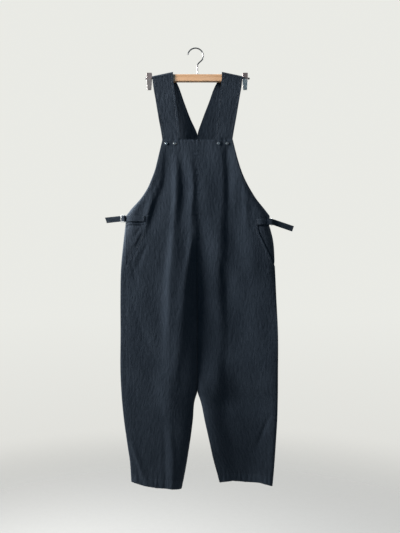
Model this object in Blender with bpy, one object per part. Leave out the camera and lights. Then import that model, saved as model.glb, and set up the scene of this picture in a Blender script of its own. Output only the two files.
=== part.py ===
"""Dungarees hung by their straps from a wooden clip hanger.

Blender 4.5, metres, +Z up. +X is the wearer's left as the garment faces -Y, and the origin is the
inside top of the hanger's hook. Run it with: blender --background --python part.py
"""

import math
from collections import namedtuple

import bmesh
import bpy
import numpy as np
from mathutils import Matrix, Vector

# ---------------------------------------------------------------- driving sizes, in metres
CLOTH = 0.0012  # one layer of cloth
STRAP = 0.0020  # a front strap, folded double
TAB = 0.0014  # a side tab
GAP = 0.0003  # between pieces that are sewn or lie together

BIB_TOP = -0.283
VEE_APEX = -0.264
ARMHOLE_END = -0.517
POCKET_TOP = -0.545
CROTCH = -0.777
LEGS_PART = -1.063
HEM = -1.345
CREASE_START = -0.560  # the centre seam begins to sink in between the legs
LEGS_LAP = 0.0025  # how far each leg presses past the middle before it is flattened
CONTACT_SLANT = 0.12  # the legs touch along a slightly slanted face
SEAM_LEFT = 0.219  # the image-left side seam has rolled onto the front
SEAM_RIGHT_BEHIND = 0.006  # the other one lies just behind the edge

BAR_HALF_LENGTH = 0.090
BAR_HALF_DEPTH = 0.008
BAR_TOP = -0.080
BAR_BOTTOM = -0.102
ROD_Z = -0.0915
ROD_RADIUS = 0.002
ROD_HALF_LENGTH = 0.1625
FOLD_REACH = BAR_HALF_DEPTH + GAP + CLOTH  # outer face of the cloth where it passes the bar
FOLD_RISE = 0.0085  # height of the arch that the strap makes over the bar
SEAM_BELOW_FOLD = 0.009

FRONT_COLUMNS = 12
BACK_COLUMNS = 14
STRAP_TURNS = 6  # rows over the hanger

# Each panel is made in lengths that end at these heights, 0.3 mm apart, so that collision can follow
# its curve: in one piece, a panel's collision would fill the hollow behind it.
LENGTHS = {
    "front": {"bib": ARMHOLE_END, "hip": CROTCH, "thigh": LEGS_PART, "calf": HEM},
    "back": {"strap": VEE_APEX, "bib": ARMHOLE_END, "hip": CROTCH, "thigh": LEGS_PART, "calf": HEM},
}

LEFT, RIGHT = -1, 1

# ---------------------------------------------------------------- sections of the garment
OUTER_ROUND = 14.0  # exponent of a section towards its outer edge: the cloth is folded nearly flat there
INNER_ROUND = {LEFT: 4.0, RIGHT: 8.0}  # and towards the other leg
CREASE_AT_EDGE = 0.35  # how much of a crease is left at the side edge, under the armhole

# left and right: distance of the outer edge from the centre; front and back: how far the cloth
# bulges forwards and backwards there
Section = namedtuple("Section", "z left right front back")
BODY = (
    Section(-0.517, 0.2210, 0.2240, 0.0185, 0.0140),
    Section(-0.545, 0.2230, 0.2245, 0.0190, 0.0150),
    Section(-0.592, 0.2275, 0.2340, 0.0200, 0.0170),
    Section(-0.684, 0.2350, 0.2395, 0.0210, 0.0190),
    Section(-0.777, 0.2365, 0.2440, 0.0220, 0.0200),
    Section(-0.870, 0.2360, 0.2485, 0.0220, 0.0200),
    Section(-1.010, 0.2360, 0.2490, 0.0220, 0.0200),
    Section(-1.087, 0.2315, 0.2490, 0.0220, 0.0200),
    Section(-1.150, 0.2250, 0.2480, 0.0220, 0.0195),
    Section(-1.212, 0.2165, 0.2445, 0.0215, 0.0190),
    Section(-1.273, 0.2080, 0.2400, 0.0210, 0.0185),
    Section(-1.345, 0.2035, 0.2330, 0.0200, 0.0180),
)

# above the armhole's end: the armhole edges and how far forward or back they stand
Armhole = namedtuple("Armhole", "z left right front back front_edge back_edge")
BIB = (
    Armhole(-0.283, 0.1080, 0.1090, 0.0122, 0.0100, 0.0118, 0.0098),
    Armhole(-0.343, 0.1220, 0.1240, 0.0150, 0.0105, 0.0146, 0.0098),
    Armhole(-0.374, 0.1295, 0.1335, 0.0165, 0.0110, 0.0154, 0.0095),
    Armhole(-0.405, 0.1410, 0.1460, 0.0175, 0.0118, 0.0152, 0.0085),
    Armhole(-0.436, 0.1550, 0.1625, 0.0182, 0.0125, 0.0138, 0.0070),
    Armhole(-0.467, 0.1765, 0.1825, 0.0186, 0.0130, 0.0105, 0.0050),
    Armhole(-0.498, 0.2055, 0.2085, 0.0186, 0.0137, 0.0045, 0.0020),
    Armhole(-0.517, 0.2210, 0.2240, 0.0185, 0.0140, 0.0000, 0.0000),
)

# below the crotch: where each leg's inner edge runs, from the centre
Inseam = namedtuple("Inseam", "z left right")
INSEAM = (
    Inseam(-0.777, -LEGS_LAP, -LEGS_LAP),
    Inseam(-1.040, -LEGS_LAP, -LEGS_LAP),
    Inseam(-1.063, 0.0006, 0.0006),
    Inseam(-1.087, 0.0078, 0.0090),
    Inseam(-1.150, 0.0140, 0.0230),
    Inseam(-1.212, 0.0220, 0.0370),
    Inseam(-1.273, 0.0325, 0.0500),
    Inseam(-1.345, 0.0485, 0.0680),
)

# from the armhole's end down: the depth of each leg's front, and how far forward its inner and outer
# edges lie. The right leg hangs flatter, with its foot turned so that its inner edge comes forward.
Leg = namedtuple("Leg", "z left right inner_left inner_right outer_left outer_right")
LEGS = (
    Leg(-0.545, 0.0190, 0.0190, 0.0000, 0.0000, 0.0000, 0.0000),
    Leg(-0.600, 0.0200, 0.0175, 0.0000, 0.0000, 0.0090, 0.0070),
    Leg(-0.684, 0.0205, 0.0135, 0.0000, 0.0000, 0.0170, 0.0100),
    Leg(-0.777, 0.0210, 0.0110, 0.0000, 0.0000, 0.0185, 0.0090),
    Leg(-0.950, 0.0210, 0.0110, 0.0000, 0.0000, 0.0185, 0.0090),
    Leg(-1.060, 0.0210, 0.0160, 0.0000, 0.0030, 0.0185, 0.0060),
    Leg(-1.150, 0.0205, 0.0230, 0.0000, 0.0160, 0.0175, 0.0000),
    Leg(-1.345, 0.0200, 0.0220, 0.0000, 0.0160, 0.0150, 0.0010),
)

# the straps: outer and inner edge of the front strap, and inner edge of the back (its V)
StrapRow = namedtuple("StrapRow", "z outer inner vee_left vee_right")
STRAPS = (
    StrapRow(-0.078, 0.1400, 0.0760, 0.0760, 0.0760),
    StrapRow(-0.110, 0.1372, 0.0735, 0.0603, 0.0562),
    StrapRow(-0.163, 0.1285, 0.0665, 0.0410, 0.0358),
    StrapRow(-0.217, 0.1195, 0.0600, 0.0205, 0.0152),
    StrapRow(-0.264, 0.1110, 0.0560, 0.0000, 0.0000),
    StrapRow(-0.315, 0.1040, 0.0540, 0.0000, 0.0000),
)
SHOULDER_INNER = (0.076, -0.071)  # distance from the centre and height of the fold
SHOULDER_OUTER = (0.1400, -0.0846)
STRAP_END = -0.312
BACK_ARMHOLE_INSET = 0.010  # the back is cut a little narrower there than the front
BACK_STRAP_INSET = 0.004

# largest folds: each runs down through its rows, with its centre, half-width and rise (negative: a
# trough). A positive lean makes the right flank the wider one. x is measured across the garment.
FoldRow = namedtuple("FoldRow", "z x width rise")
Fold = namedtuple("Fold", "face lean rows")
FOLDS = (
    Fold("front", 0.3, (  # the ridge down the bib, and the step that it becomes on the left leg
        FoldRow(-0.290, -0.070, 0.016, 0.0000),
        FoldRow(-0.374, -0.066, 0.018, 0.0026),
        FoldRow(-0.467, -0.066, 0.018, 0.0036),
        FoldRow(-0.560, -0.072, 0.022, 0.0032),
        FoldRow(-0.684, -0.081, 0.032, 0.0060),
        FoldRow(-0.808, -0.084, 0.035, 0.0075),
        FoldRow(-0.932, -0.086, 0.043, 0.0053),
        FoldRow(-1.080, -0.078, 0.040, 0.0027),
        FoldRow(-1.180, -0.078, 0.030, 0.0000),
    )),
    Fold("front", 0.4, (  # the trough down the middle
        FoldRow(-0.440, 0.004, 0.012, 0.0000),
        FoldRow(-0.600, 0.010, 0.022, -0.0044),
        FoldRow(-0.684, 0.016, 0.028, -0.0060),
        FoldRow(-0.780, 0.016, 0.028, -0.0042),
        FoldRow(-0.950, 0.016, 0.028, -0.0034),
        FoldRow(-1.050, 0.014, 0.024, 0.0000),
    )),
    Fold("front", 0.4, (  # the trough down the bib's right, and the step down that it becomes
        FoldRow(-0.285, 0.092, 0.014, 0.0000),
        FoldRow(-0.374, 0.094, 0.018, -0.0036),
        FoldRow(-0.467, 0.096, 0.024, -0.0050),
        FoldRow(-0.600, 0.096, 0.040, -0.0038),
        FoldRow(-0.684, 0.094, 0.046, -0.0059),
        FoldRow(-0.808, 0.094, 0.046, -0.0057),
        FoldRow(-0.994, 0.108, 0.056, -0.0053),
        FoldRow(-1.080, 0.120, 0.060, -0.0038),
        FoldRow(-1.160, 0.130, 0.060, 0.0000),
    )),
    Fold("front", 0.05, (  # the right leg's foot falls back from its inner edge
        FoldRow(-0.960, 0.130, 0.060, 0.0000),
        FoldRow(-1.040, 0.150, 0.080, -0.0084),
        FoldRow(-1.100, 0.172, 0.096, -0.0167),
        FoldRow(-1.200, 0.184, 0.104, -0.0209),
        FoldRow(-1.290, 0.176, 0.098, -0.0198),
        FoldRow(-1.372, 0.172, 0.094, -0.0175),
    )),
    Fold("back", 0.0, (
        FoldRow(-0.300, -0.066, 0.016, 0.0000),
        FoldRow(-0.560, -0.075, 0.018, 0.0029),
        FoldRow(-0.720, -0.083, 0.018, 0.0027),
        FoldRow(-0.900, -0.092, 0.018, 0.0000),
    )),
    Fold("back", 0.2, (
        FoldRow(-0.320, 0.080, 0.014, 0.0000),
        FoldRow(-0.620, 0.090, 0.016, -0.0032),
        FoldRow(-0.850, 0.094, 0.018, -0.0035),
        FoldRow(-1.050, 0.098, 0.018, 0.0000),
    )),
    Fold("back", 0.0, (
        FoldRow(-0.700, -0.120, 0.014, 0.0000),
        FoldRow(-1.000, -0.130, 0.018, -0.0027),
        FoldRow(-1.180, -0.124, 0.017, -0.0020),
        FoldRow(-1.330, -0.118, 0.014, 0.0000),
    )),
    Fold("back", 0.0, (
        FoldRow(-0.780, 0.150, 0.016, 0.0000),
        FoldRow(-1.050, 0.160, 0.018, 0.0027),
        FoldRow(-1.200, 0.155, 0.017, 0.0015),
        FoldRow(-1.320, 0.150, 0.014, 0.0000),
    )),
)

# hem line: height of the hem above or below HEM, from the inner to the outer edge of the leg
HEM_LINE = {LEFT: (-0.016, -0.012, -0.009, -0.002, 0.010), RIGHT: (0.008, 0.010, 0.004, 0.001, -0.010)}
HEM_EASE = 0.12

# slanted pocket openings: the line that the front is cut along, and its facing beneath
Slant = namedtuple("Slant", "x_top x_knee x_foot z_knee z_foot")
POCKETS = {
    LEFT: Slant(0.163, 0.169, 0.224, -0.573, -0.682),
    RIGHT: Slant(0.183, 0.189, 0.240, -0.573, -0.676),
}
FACING_LAP = 0.012
FACING_END = {LEFT: None, RIGHT: -2}  # on the right it stops where the front turns round the side
CUT_FRONT = -0.08  # how far forward and back the outlines reach that cut a panel
CUT_BACK = 0.03

STUDS = (-0.0964, -0.0704, 0.0648, 0.0911)
STUD_Z = -0.295
STUD_RADIUS = 0.0045
STUD_HEIGHT = 0.0022

# slide rings and tabs: distances are from the centre, outwards
TAB_WIDTH = 0.0175
TAB_MESH_STEPS = 2
RING_HALF_HEIGHT = 0.0105
RING_BARS = 0.0093  # distance from the centre bar to each side bar
RING_WIRE = 0.0009
CARRIER = 0.0012
CARRIER_HALF_HEIGHT = 0.0090
Adjuster = namedtuple("Adjuster", "a y z turn tilt end_slant carrier_from carrier_leaves")
ADJUSTERS = {
    LEFT: Adjuster(0.2254, -0.0142, -0.5267, 0.0, 6.0, 0.30, 0.163, 0.2070),
    RIGHT: Adjuster(0.2292, -0.0070, -0.5360, 80.0, 18.7, 0.0, 0.183, 0.2130),
}
# each tab from where it is sewn to the back, round the side, through the ring and out to its free end
TAB_SEWN_FROM = 0.190
PathPoint = namedtuple("PathPoint", "a y")
TAB_PATHS = {
    LEFT: (
        PathPoint(0.2180, 0.0085),
        PathPoint(0.2236, 0.0045),
        PathPoint(0.2250, 0.0000),
        PathPoint(0.2238, -0.0045),
        PathPoint(0.2214, -0.0085),
        PathPoint(0.2204, -0.0114),
        PathPoint(0.2209, -0.0143),
        PathPoint(0.2228, -0.0163),
        PathPoint(0.2254, -0.0169),
        PathPoint(0.2284, -0.0160),
        PathPoint(0.2306, -0.0139),
        PathPoint(0.2340, -0.0120),
        PathPoint(0.2500, -0.0113),
        PathPoint(0.2844, -0.0103),
    ),
    RIGHT: (
        PathPoint(0.2180, 0.0100),
        PathPoint(0.2270, 0.0062),
        PathPoint(0.2315, 0.0056),
        PathPoint(0.2342, 0.0035),
        PathPoint(0.2338, 0.0002),
        PathPoint(0.2308, -0.0022),
        PathPoint(0.2276, -0.0042),
        PathPoint(0.2265, -0.0070),
        PathPoint(0.2276, -0.0100),
        PathPoint(0.2308, -0.0116),
        PathPoint(0.2350, -0.0118),
        PathPoint(0.2480, -0.0112),
        PathPoint(0.2948, -0.0100),
    ),
}
TAB_TILT_FROM = {LEFT: 0.2340, RIGHT: 0.2300}

# the hanger's hook and clips
HOOK_WIRE = 0.002
HOOK_INSIDE = 0.022
HOOK_CENTRE_X = -0.006
HOOK_TIP_ANGLE = 172.0  # degrees, anticlockwise from +X
HOOK_LEAVES_ANGLE = -22.0
STEM_TOP = -0.052
CLIP_X = {LEFT: -0.1490, RIGHT: 0.1480}
CLIP_TOP = -0.075
CLIP_NECK = -0.094
CLIP_FOOT = -0.127
CLIP_HALF_TOP = 0.0078
CLIP_HALF_FOOT = 0.0060
CLIP_SHEET = 0.0012
CLIP_MOUTH = 0.0006  # from the middle to each jaw at the foot
BARREL_RADIUS = 0.0042
BARREL_HALF_LENGTH = 0.0060
ROD_PLAY = 0.0003
ROD_KNOB = 0.0032

Finish = namedtuple("Finish", "colour roughness metallic")
FINISHES = {
    "cloth": Finish((0.020, 0.024, 0.032), 0.90, 0.0),
    "strap_cloth": Finish((0.022, 0.027, 0.036), 0.90, 0.0),
    "facing_cloth": Finish((0.016, 0.020, 0.027), 0.90, 0.0),
    "stud": Finish((0.62, 0.60, 0.57), 0.25, 1.0),
    "ring": Finish((0.66, 0.66, 0.68), 0.22, 1.0),
    "wood": Finish((0.62, 0.36, 0.20), 0.45, 0.0),
    "wire": Finish((0.20, 0.19, 0.18), 0.35, 1.0),
    "clip": Finish((0.30, 0.26, 0.25), 0.35, 1.0),
}


# ---------------------------------------------------------------- curves
def through(rows, column, flat_ends=False):
    """A smooth function of height through one column of a table, held level past both ends."""
    heights = np.array([row.z for row in rows])[::-1]
    values = np.array([getattr(row, column) for row in rows])[::-1]
    slopes = np.gradient(values, heights)
    if flat_ends:
        slopes[0] = slopes[-1] = 0.0

    def at(z):
        z = np.clip(z, heights[0], heights[-1])
        i = np.clip(np.searchsorted(heights, z) - 1, 0, len(heights) - 2)
        span = heights[i + 1] - heights[i]
        t = (z - heights[i]) / span
        ends = (1 + 2 * t) * (1 - t) ** 2 * values[i] + t * t * (3 - 2 * t) * values[i + 1]
        return ends + t * (1 - t) * ((1 - t) * slopes[i] - t * slopes[i + 1]) * span

    return at


def ease(value, start, end):
    """0 before start and 1 after end, with a soft step between."""
    t = np.clip((value - start) / (end - start), 0.0, 1.0)
    return t * t * (3 - 2 * t)


def side_name(side):
    return "left" if side == LEFT else "right"


def body_curve(column):
    """A column of the body's table below the armhole's end, and of the bib's above it."""
    below = through(BODY, column)
    above = through(BIB, column)
    return lambda z: np.where(z > ARMHOLE_END, above(z), below(z))


OUTER = {side: body_curve(side_name(side)) for side in (LEFT, RIGHT)}
BULGE = {face: body_curve(face) for face in ("front", "back")}
EDGE = {face: through(BIB, face + "_edge") for face in ("front", "back")}
INNER = {side: through(INSEAM, side_name(side)) for side in (LEFT, RIGHT)}
LEG_FRONT = {side: through(LEGS, side_name(side)) for side in (LEFT, RIGHT)}
INNER_AT = {side: through(LEGS, "inner_" + side_name(side)) for side in (LEFT, RIGHT)}
OUTER_AT = {side: through(LEGS, "outer_" + side_name(side)) for side in (LEFT, RIGHT)}
STRAP_OUTER = through(STRAPS, "outer")
STRAP_INNER = through(STRAPS, "inner")
VEE = {LEFT: through(STRAPS, "vee_left"), RIGHT: through(STRAPS, "vee_right")}


def parting(z):
    """How far the garment is divided into two legs at this height: 0 at the bib, 1 at the crotch."""
    return ease(-z, -CREASE_START, -CROTCH)


def inner_edge(side, z):
    """The middle of the garment, or a leg's inner edge, as a distance towards the side."""
    return np.where(z > CROTCH, INNER[side](CROTCH) * parting(z), INNER[side](z))


FoldLine = namedtuple("FoldLine", "face lean x width rise")


def fold_line(fold):
    x, width = through(fold.rows, "x"), through(fold.rows, "width")
    return FoldLine(fold.face, fold.lean, x, width, through(fold.rows, "rise", flat_ends=True))


FOLD_LINES = [fold_line(fold) for fold in FOLDS]


def folds(face, x, z):
    """How far the folds lift the cloth off its plain form."""
    total = np.zeros(np.broadcast(x, z).shape)
    for line in FOLD_LINES:
        if line.face == face:
            off = (x - line.x(z)) / line.width(z)
            off = np.where(off > 0, off / (1 + line.lean), off / (1 - line.lean))
            total = total + line.rise(z) * np.exp(-off * off)
    return total


def cloth_y(side, face, a, z):
    """Depth of the garment's outer face at distance a towards the side and height z."""
    forward = -1.0 if face == "front" else 1.0
    outer = OUTER[side](z)
    inner = inner_edge(side, z)
    bulge = forward * BULGE[face](z)
    edge = np.where(z > ARMHOLE_END, forward * EDGE[face](z), -OUTER_AT[side](z))
    across = np.clip(np.abs(a) / outer, 0, 1)
    torso_round = np.sqrt(1 - across**OUTER_ROUND)
    torso = edge + (bulge - edge) * torso_round
    v = np.clip(2 * (a - inner) / (outer - inner) - 1, -1, 1)
    leg_round = np.sqrt(1 - np.abs(v) ** np.where(v < 0, INNER_ROUND[side], OUTER_ROUND))
    base = edge * (v + 1) / 2 - INNER_AT[side](z) * (1 - v) / 2
    leg_front = bulge if face == "back" else -LEG_FRONT[side](z)
    leg = base + (leg_front - base) * leg_round
    k = parting(z)
    room = np.where(z > ARMHOLE_END, CREASE_AT_EDGE + (1 - CREASE_AT_EDGE) * torso_round, torso_round)
    lift = folds(face, side * a, z) * ((1 - k) * room + k * leg_round)
    return (1 - k) * torso + k * leg + forward * lift


def hem_shift(side, share, z):
    """The hem's own wave, eased out up the leg. share runs from the leg's inner to its outer edge."""
    line = HEM_LINE[side]
    wave = np.interp(share, np.linspace(0, 1, len(line)), line)
    return wave * ease(-z, -HEM - HEM_EASE, -HEM)


def pressed(side, a, y, z):
    """Legs that touch are flattened against each other, and panels stop short of the centre seam."""
    middle = side * CONTACT_SLANT * parting(z) * y + GAP / 2
    return np.where(z > LEGS_PART, np.maximum(a, middle), a)


def section_point(side, angle, z):
    """A point of the half-section: angle 0 at the front's inner edge, pi at the outer edge,
    2 pi at the back's inner edge."""
    outer = OUTER[side](z)
    inner = inner_edge(side, z)
    a = inner + (outer - inner) * (1 - np.cos(angle)) / 2
    y = np.where(angle <= math.pi, cloth_y(side, "front", a, z), cloth_y(side, "back", a, z))
    share = (1 - np.cos(angle)) / 2
    z_here = z + hem_shift(side, share, z)
    return np.stack([side * pressed(side, a, y, z), y, z_here], axis=-1)


def seam_angle(side, z):
    """Where the side seam runs round the section."""
    outer = OUTER[side](z)
    inner = inner_edge(side, z)
    if side == LEFT:
        at = np.minimum(SEAM_LEFT, outer)
        return np.arccos(np.clip(1 - 2 * (at - inner) / (outer - inner), -1, 1))
    behind = SEAM_RIGHT_BEHIND * ease(-z, -ARMHOLE_END, 0.06 - ARMHOLE_END)
    return 2 * math.pi - np.arccos(np.clip(1 - 2 * (outer - behind - inner) / (outer - inner), -1, 1))


def heights(*stops):
    """Heights through the stops, each given with the number of steps down to it."""
    found = [stops[0]]
    for z, steps in zip(stops[1::2], stops[2::2]):
        found.extend(np.linspace(found[-1], z, steps + 1)[1:])
    return np.array(found)


# ---------------------------------------------------------------- objects
def material(name):
    found = bpy.data.materials.get(name)
    if found:
        return found
    made = bpy.data.materials.new(name)
    made.use_nodes = True
    shader = made.node_tree.nodes["Principled BSDF"]
    finish = FINISHES[name]
    shader.inputs["Base Color"].default_value = (*finish.colour, 1)
    shader.inputs["Roughness"].default_value = finish.roughness
    shader.inputs["Metallic"].default_value = finish.metallic
    made.diffuse_color = (*finish.colour, 1)
    return made


def add_object(name, mesh, finish):
    obj = bpy.data.objects.new(name, mesh)
    bpy.context.scene.collection.objects.link(obj)
    mesh.materials.append(material(finish))
    mesh.shade_smooth()
    mesh.set_sharp_from_angle(angle=math.radians(40))
    return obj


def outward(side, points):
    """Unit normals of a grid whose rows run down and whose columns run from the front round to the back."""
    along = np.gradient(points, axis=1)
    down = np.gradient(points, axis=0)
    normal = -side * np.cross(along, down)
    return normal / np.linalg.norm(normal, axis=-1, keepdims=True)


def shell(name, outer, inner, finish="cloth"):
    """A closed wall of cloth between two grids of the same size, outer facing out."""
    rows, columns = outer.shape[:2]
    shape = bmesh.new()
    skins = [[[shape.verts.new(p) for p in row] for row in grid] for grid in (outer, inner)]
    for skin in skins:
        for r in range(rows - 1):
            for c in range(columns - 1):
                shape.faces.new((skin[r][c], skin[r][c + 1], skin[r + 1][c + 1], skin[r + 1][c]))
    rim = [(0, c) for c in range(columns)] + [(r, columns - 1) for r in range(1, rows)]
    rim += [(rows - 1, c) for c in range(columns - 2, -1, -1)] + [(r, 0) for r in range(rows - 2, 0, -1)]
    for (r0, c0), (r1, c1) in zip(rim, rim[1:] + rim[:1]):
        shape.faces.new((skins[0][r0][c0], skins[0][r1][c1], skins[1][r1][c1], skins[1][r0][c0]))
    bmesh.ops.recalc_face_normals(shape, faces=shape.faces)
    mesh = bpy.data.meshes.new(name)
    shape.to_mesh(mesh)
    shape.free()
    return add_object(name, mesh, finish)


def moved_in(points, first, last):
    """The grid with its first and last column moved in along the rows, for the gap at a seam."""
    points = points.copy()
    for edge, inside, distance in ((0, 1, first), (-1, -2, last)):
        step = points[:, inside] - points[:, edge]
        points[:, edge] += step * (distance / np.linalg.norm(step, axis=1))[:, None]
    return points


def section_grid(side, angles, z):
    """Points and normals of the section at each height. The normals at the ends are those of the
    whole section, so that panels that meet at a seam have parallel faces there."""
    steps = angles[:, 1:2] - angles[:, :1]
    wide = np.concatenate([angles[:, :1] - steps, angles, angles[:, -1:] + steps], axis=1)
    points = section_point(side, wide % (2 * math.pi), z[:, None])
    above = z > CROTCH
    if angles[0, 0] == 0:
        points[above, 0] = 2 * points[above, 1] - points[above, 2]
    if angles[0, -1] == 2 * math.pi:
        points[:, -2] = section_point(side, angles[:, -1:], z[:, None])[:, 0]
        points[above, -1] = 2 * points[above, -2] - points[above, -3]
    return points[:, 1:-1], outward(side, points)[:, 1:-1]


def panel(face, side, z, outer, inner):
    """A panel's wall in its lengths. z gives the height of each row; two lengths share the row between
    them, moved down half the gap in one and up half of it in the other."""
    pieces = {}
    start = 0
    for name, foot in LENGTHS[face].items():
        end = len(z) - 1 if foot == HEM else int(np.argmin(np.abs(z - foot)))
        rows = slice(start, end + 1)
        walls = [apart(wall[rows], start > 0, end < len(z) - 1) for wall in (outer, inner)]
        pieces[name] = shell(f"{face}_{side_name(side)}_{name}", *walls)
        start = end
    return pieces


def apart(wall, first, last):
    """A length of a wall with its first and last row moved in by half the gap, where asked."""
    across = moved_in(wall.transpose(1, 0, 2), GAP / 2 * first, GAP / 2 * last)
    return across.transpose(1, 0, 2)


FRONT_ROWS = heights(
    BIB_TOP, ARMHOLE_END, 9, POCKET_TOP, 1, -0.690, 5, CROTCH, 3, LEGS_PART, 5, -1.110, 2, HEM, 6
)


def front_grid(side):
    share = np.linspace(0, 1, FRONT_COLUMNS)
    angles = share[None, :] * seam_angle(side, FRONT_ROWS)[:, None]
    return section_grid(side, angles, FRONT_ROWS)


def layer(grid, from_face, thickness):
    """The outer and inner face of a layer that starts this far under a panel's outer face, or, for a
    negative number, this far over it."""
    points, normals = grid
    return points - normals * from_face, points - normals * (from_face + thickness)


def build_front(side):
    outer, inner = layer(front_grid(side), 0.0, CLOTH)
    inseam = np.where(FRONT_ROWS < CROTCH + GAP, GAP / 2, 0.0)
    outer, inner = moved_in(outer, inseam, GAP / 2), moved_in(inner, inseam, GAP / 2)
    lengths = panel("front", side, FRONT_ROWS, outer, inner)
    trim(lengths["hip"], side, pocket_corners(side, 0.0), "DIFFERENCE")


def pocket_corners(side, lap):
    """The corner outside the slanted opening, or, with a lap, that much more of it all round."""
    slant = POCKETS[side]
    outside = OUTER[side](CROTCH) + 0.02
    return (
        (slant.x_top - lap, POCKET_TOP - (GAP if lap else 0)),
        (slant.x_knee - lap, slant.z_knee),
        (slant.x_foot - lap, slant.z_foot),
        (slant.x_foot - lap, slant.z_foot - lap),
        (outside, slant.z_foot - lap),
        (outside, POCKET_TOP - (GAP if lap else 0)),
    )


def build_facing(side):
    """The pocket facing lies one layer under the front, from just inside the slant to the side seam."""
    points, normals = front_grid(side)
    slant = POCKETS[side]
    rows = (FRONT_ROWS > slant.z_foot - 0.06) & (FRONT_ROWS < ARMHOLE_END + 0.001)
    columns = slice(FRONT_COLUMNS // 2, FACING_END[side])
    block = points[rows, columns], normals[rows, columns]
    outer, inner = layer(block, CLOTH + GAP, CLOTH)
    name = f"pocket_facing_{side_name(side)}"
    piece = shell(name, moved_in(outer, 0, GAP), moved_in(inner, 0, GAP), "facing_cloth")
    trim(piece, side, pocket_corners(side, FACING_LAP), "INTERSECT")


def trim(piece, side, corners, operation):
    """Cuts a piece along an outline seen from the front."""
    shape = bmesh.new()
    near = [shape.verts.new((side * a, CUT_FRONT, z)) for a, z in corners]
    extruded = bmesh.ops.extrude_face_region(shape, geom=[shape.faces.new(near)])
    bmesh.ops.translate(shape, vec=(0, CUT_BACK - CUT_FRONT, 0), verts=moved_vertices(extruded))
    bmesh.ops.recalc_face_normals(shape, faces=shape.faces)
    mesh = bpy.data.meshes.new(f"{piece.name}_outline")
    shape.to_mesh(mesh)
    shape.free()
    cutter = bpy.data.objects.new(mesh.name, mesh)
    bpy.context.scene.collection.objects.link(cutter)
    cutter.hide_render = True
    cutter.display_type = "WIRE"
    cut = piece.modifiers.new("outline", "BOOLEAN")
    cut.operation = operation
    cut.object = cutter


def fold_height(a):
    """Height of the strap's fold over the hanger, which slopes down towards the shoulder."""
    (inner, top), (outer, low) = SHOULDER_INNER, SHOULDER_OUTER
    return top + (low - top) * (a - inner) / (outer - inner)


def back_outer(side, z):
    """The back's armhole edge, and the outer edge of its strap."""
    inset = BACK_ARMHOLE_INSET * ease(z, ARMHOLE_END, ARMHOLE_END + 0.10)
    armhole = OUTER[side](z) - inset
    strap = STRAP_OUTER(z) - BACK_STRAP_INSET * ease(-z, 0.090, 0.120)
    join = ease(z, BIB_TOP - 0.06, BIB_TOP)
    return armhole * (1 - join) + strap * join


BACK_ROWS = heights(ARMHOLE_END, POCKET_TOP, 1, CROTCH, 6, LEGS_PART, 5, -1.110, 2, HEM, 6)
VEE_ROWS = heights(-0.150, VEE_APEX, 4, BIB_TOP, 1, ARMHOLE_END, 8)[:-1]


def build_back(side):
    """The back: leg, seat and V back in one with the strap that runs over the hanger."""
    share = np.linspace(0, 1, BACK_COLUMNS)
    start = seam_angle(side, BACK_ROWS)[:, None]
    below, below_normals = section_grid(side, start + share * (2 * math.pi - start), BACK_ROWS)
    inner = np.maximum(VEE[side](VEE_ROWS), 0.0)[:, None]
    outer = back_outer(side, VEE_ROWS)[:, None]
    a = inner + (outer - inner) * (1 + np.cos(math.pi * share)) / 2
    y = cloth_y(side, "back", a, VEE_ROWS[:, None])
    a = np.maximum(a, GAP / 2)
    vee = np.stack([side * a, y, np.broadcast_to(VEE_ROWS[:, None], a.shape)], axis=-1)
    above = np.array([*over_the_bar(side, share), *vee])
    normals = outward(side, np.concatenate([above, below[:1]]))[:-1]
    grid = np.concatenate([above, below]), np.concatenate([normals, below_normals])
    outside, inside = layer(grid, 0.0, CLOTH)
    inseam = np.concatenate([np.zeros(len(above)), np.where(BACK_ROWS < CROTCH + GAP, GAP / 2, 0.0)])
    walls = [moved_in(wall, GAP / 2, inseam) for wall in (outside, inside)]
    panel("back", side, np.concatenate([above[:, :, 2].mean(axis=1), BACK_ROWS]), *walls)


def over_the_bar(side, share):
    """Rows of the strap from its shoulder seam on the front, over the hanger and down the back."""
    across = (1 + np.cos(math.pi * share)) / 2
    rows = []
    a = SHOULDER_INNER[0] + (SHOULDER_OUTER[0] - SHOULDER_INNER[0]) * across
    fold = fold_height(a)
    for turn in np.linspace(math.pi, 0, STRAP_TURNS):
        y = np.full_like(a, FOLD_REACH * math.cos(turn))
        rows.append(np.stack([side * a, y, fold - FOLD_RISE * (1 - math.sin(turn))], axis=-1))
    spring = fold - FOLD_RISE
    for step in (0.33, 0.66):
        z = spring + (-0.150 - spring) * step
        inner = VEE[side](z)
        outer = back_outer(side, z)
        a = inner + (outer - inner) * across
        rows.append(np.stack([side * a, np.full_like(a, FOLD_REACH), z], axis=-1))
    return rows


def build_front_strap(side):
    """From the shoulder seam down behind the bib, to just below its studs."""
    share = np.linspace(0, 1, 4)
    rows = []
    for step in np.linspace(0, 1, 12):
        a = SHOULDER_INNER[0] + (SHOULDER_OUTER[0] - SHOULDER_INNER[0]) * share
        top = fold_height(a) - SEAM_BELOW_FOLD - GAP
        z = top + (STRAP_END - top) * step
        a = STRAP_INNER(z) + (STRAP_OUTER(z) - STRAP_INNER(z)) * share
        behind_bib = cloth_y(side, "front", a, np.minimum(z, BIB_TOP)) + CLOTH + GAP
        at_bar = -(BAR_HALF_DEPTH + GAP + STRAP)
        y = at_bar + (behind_bib - at_bar) * ease(-z, 0.12, -BIB_TOP - 0.01)
        rows.append(np.stack([side * a, y, z], axis=-1))
    points = np.array(rows)
    outer, inner = layer((points, outward(side, points)), 0.0, STRAP)
    shell(f"front_strap_{side_name(side)}", outer, inner, "strap_cloth")


def solid(name, shape, finish):
    """An object from a finished bmesh."""
    mesh = bpy.data.meshes.new(name)
    bmesh.ops.recalc_face_normals(shape, faces=shape.faces)
    shape.to_mesh(mesh)
    shape.free()
    return add_object(name, mesh, finish)


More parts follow.
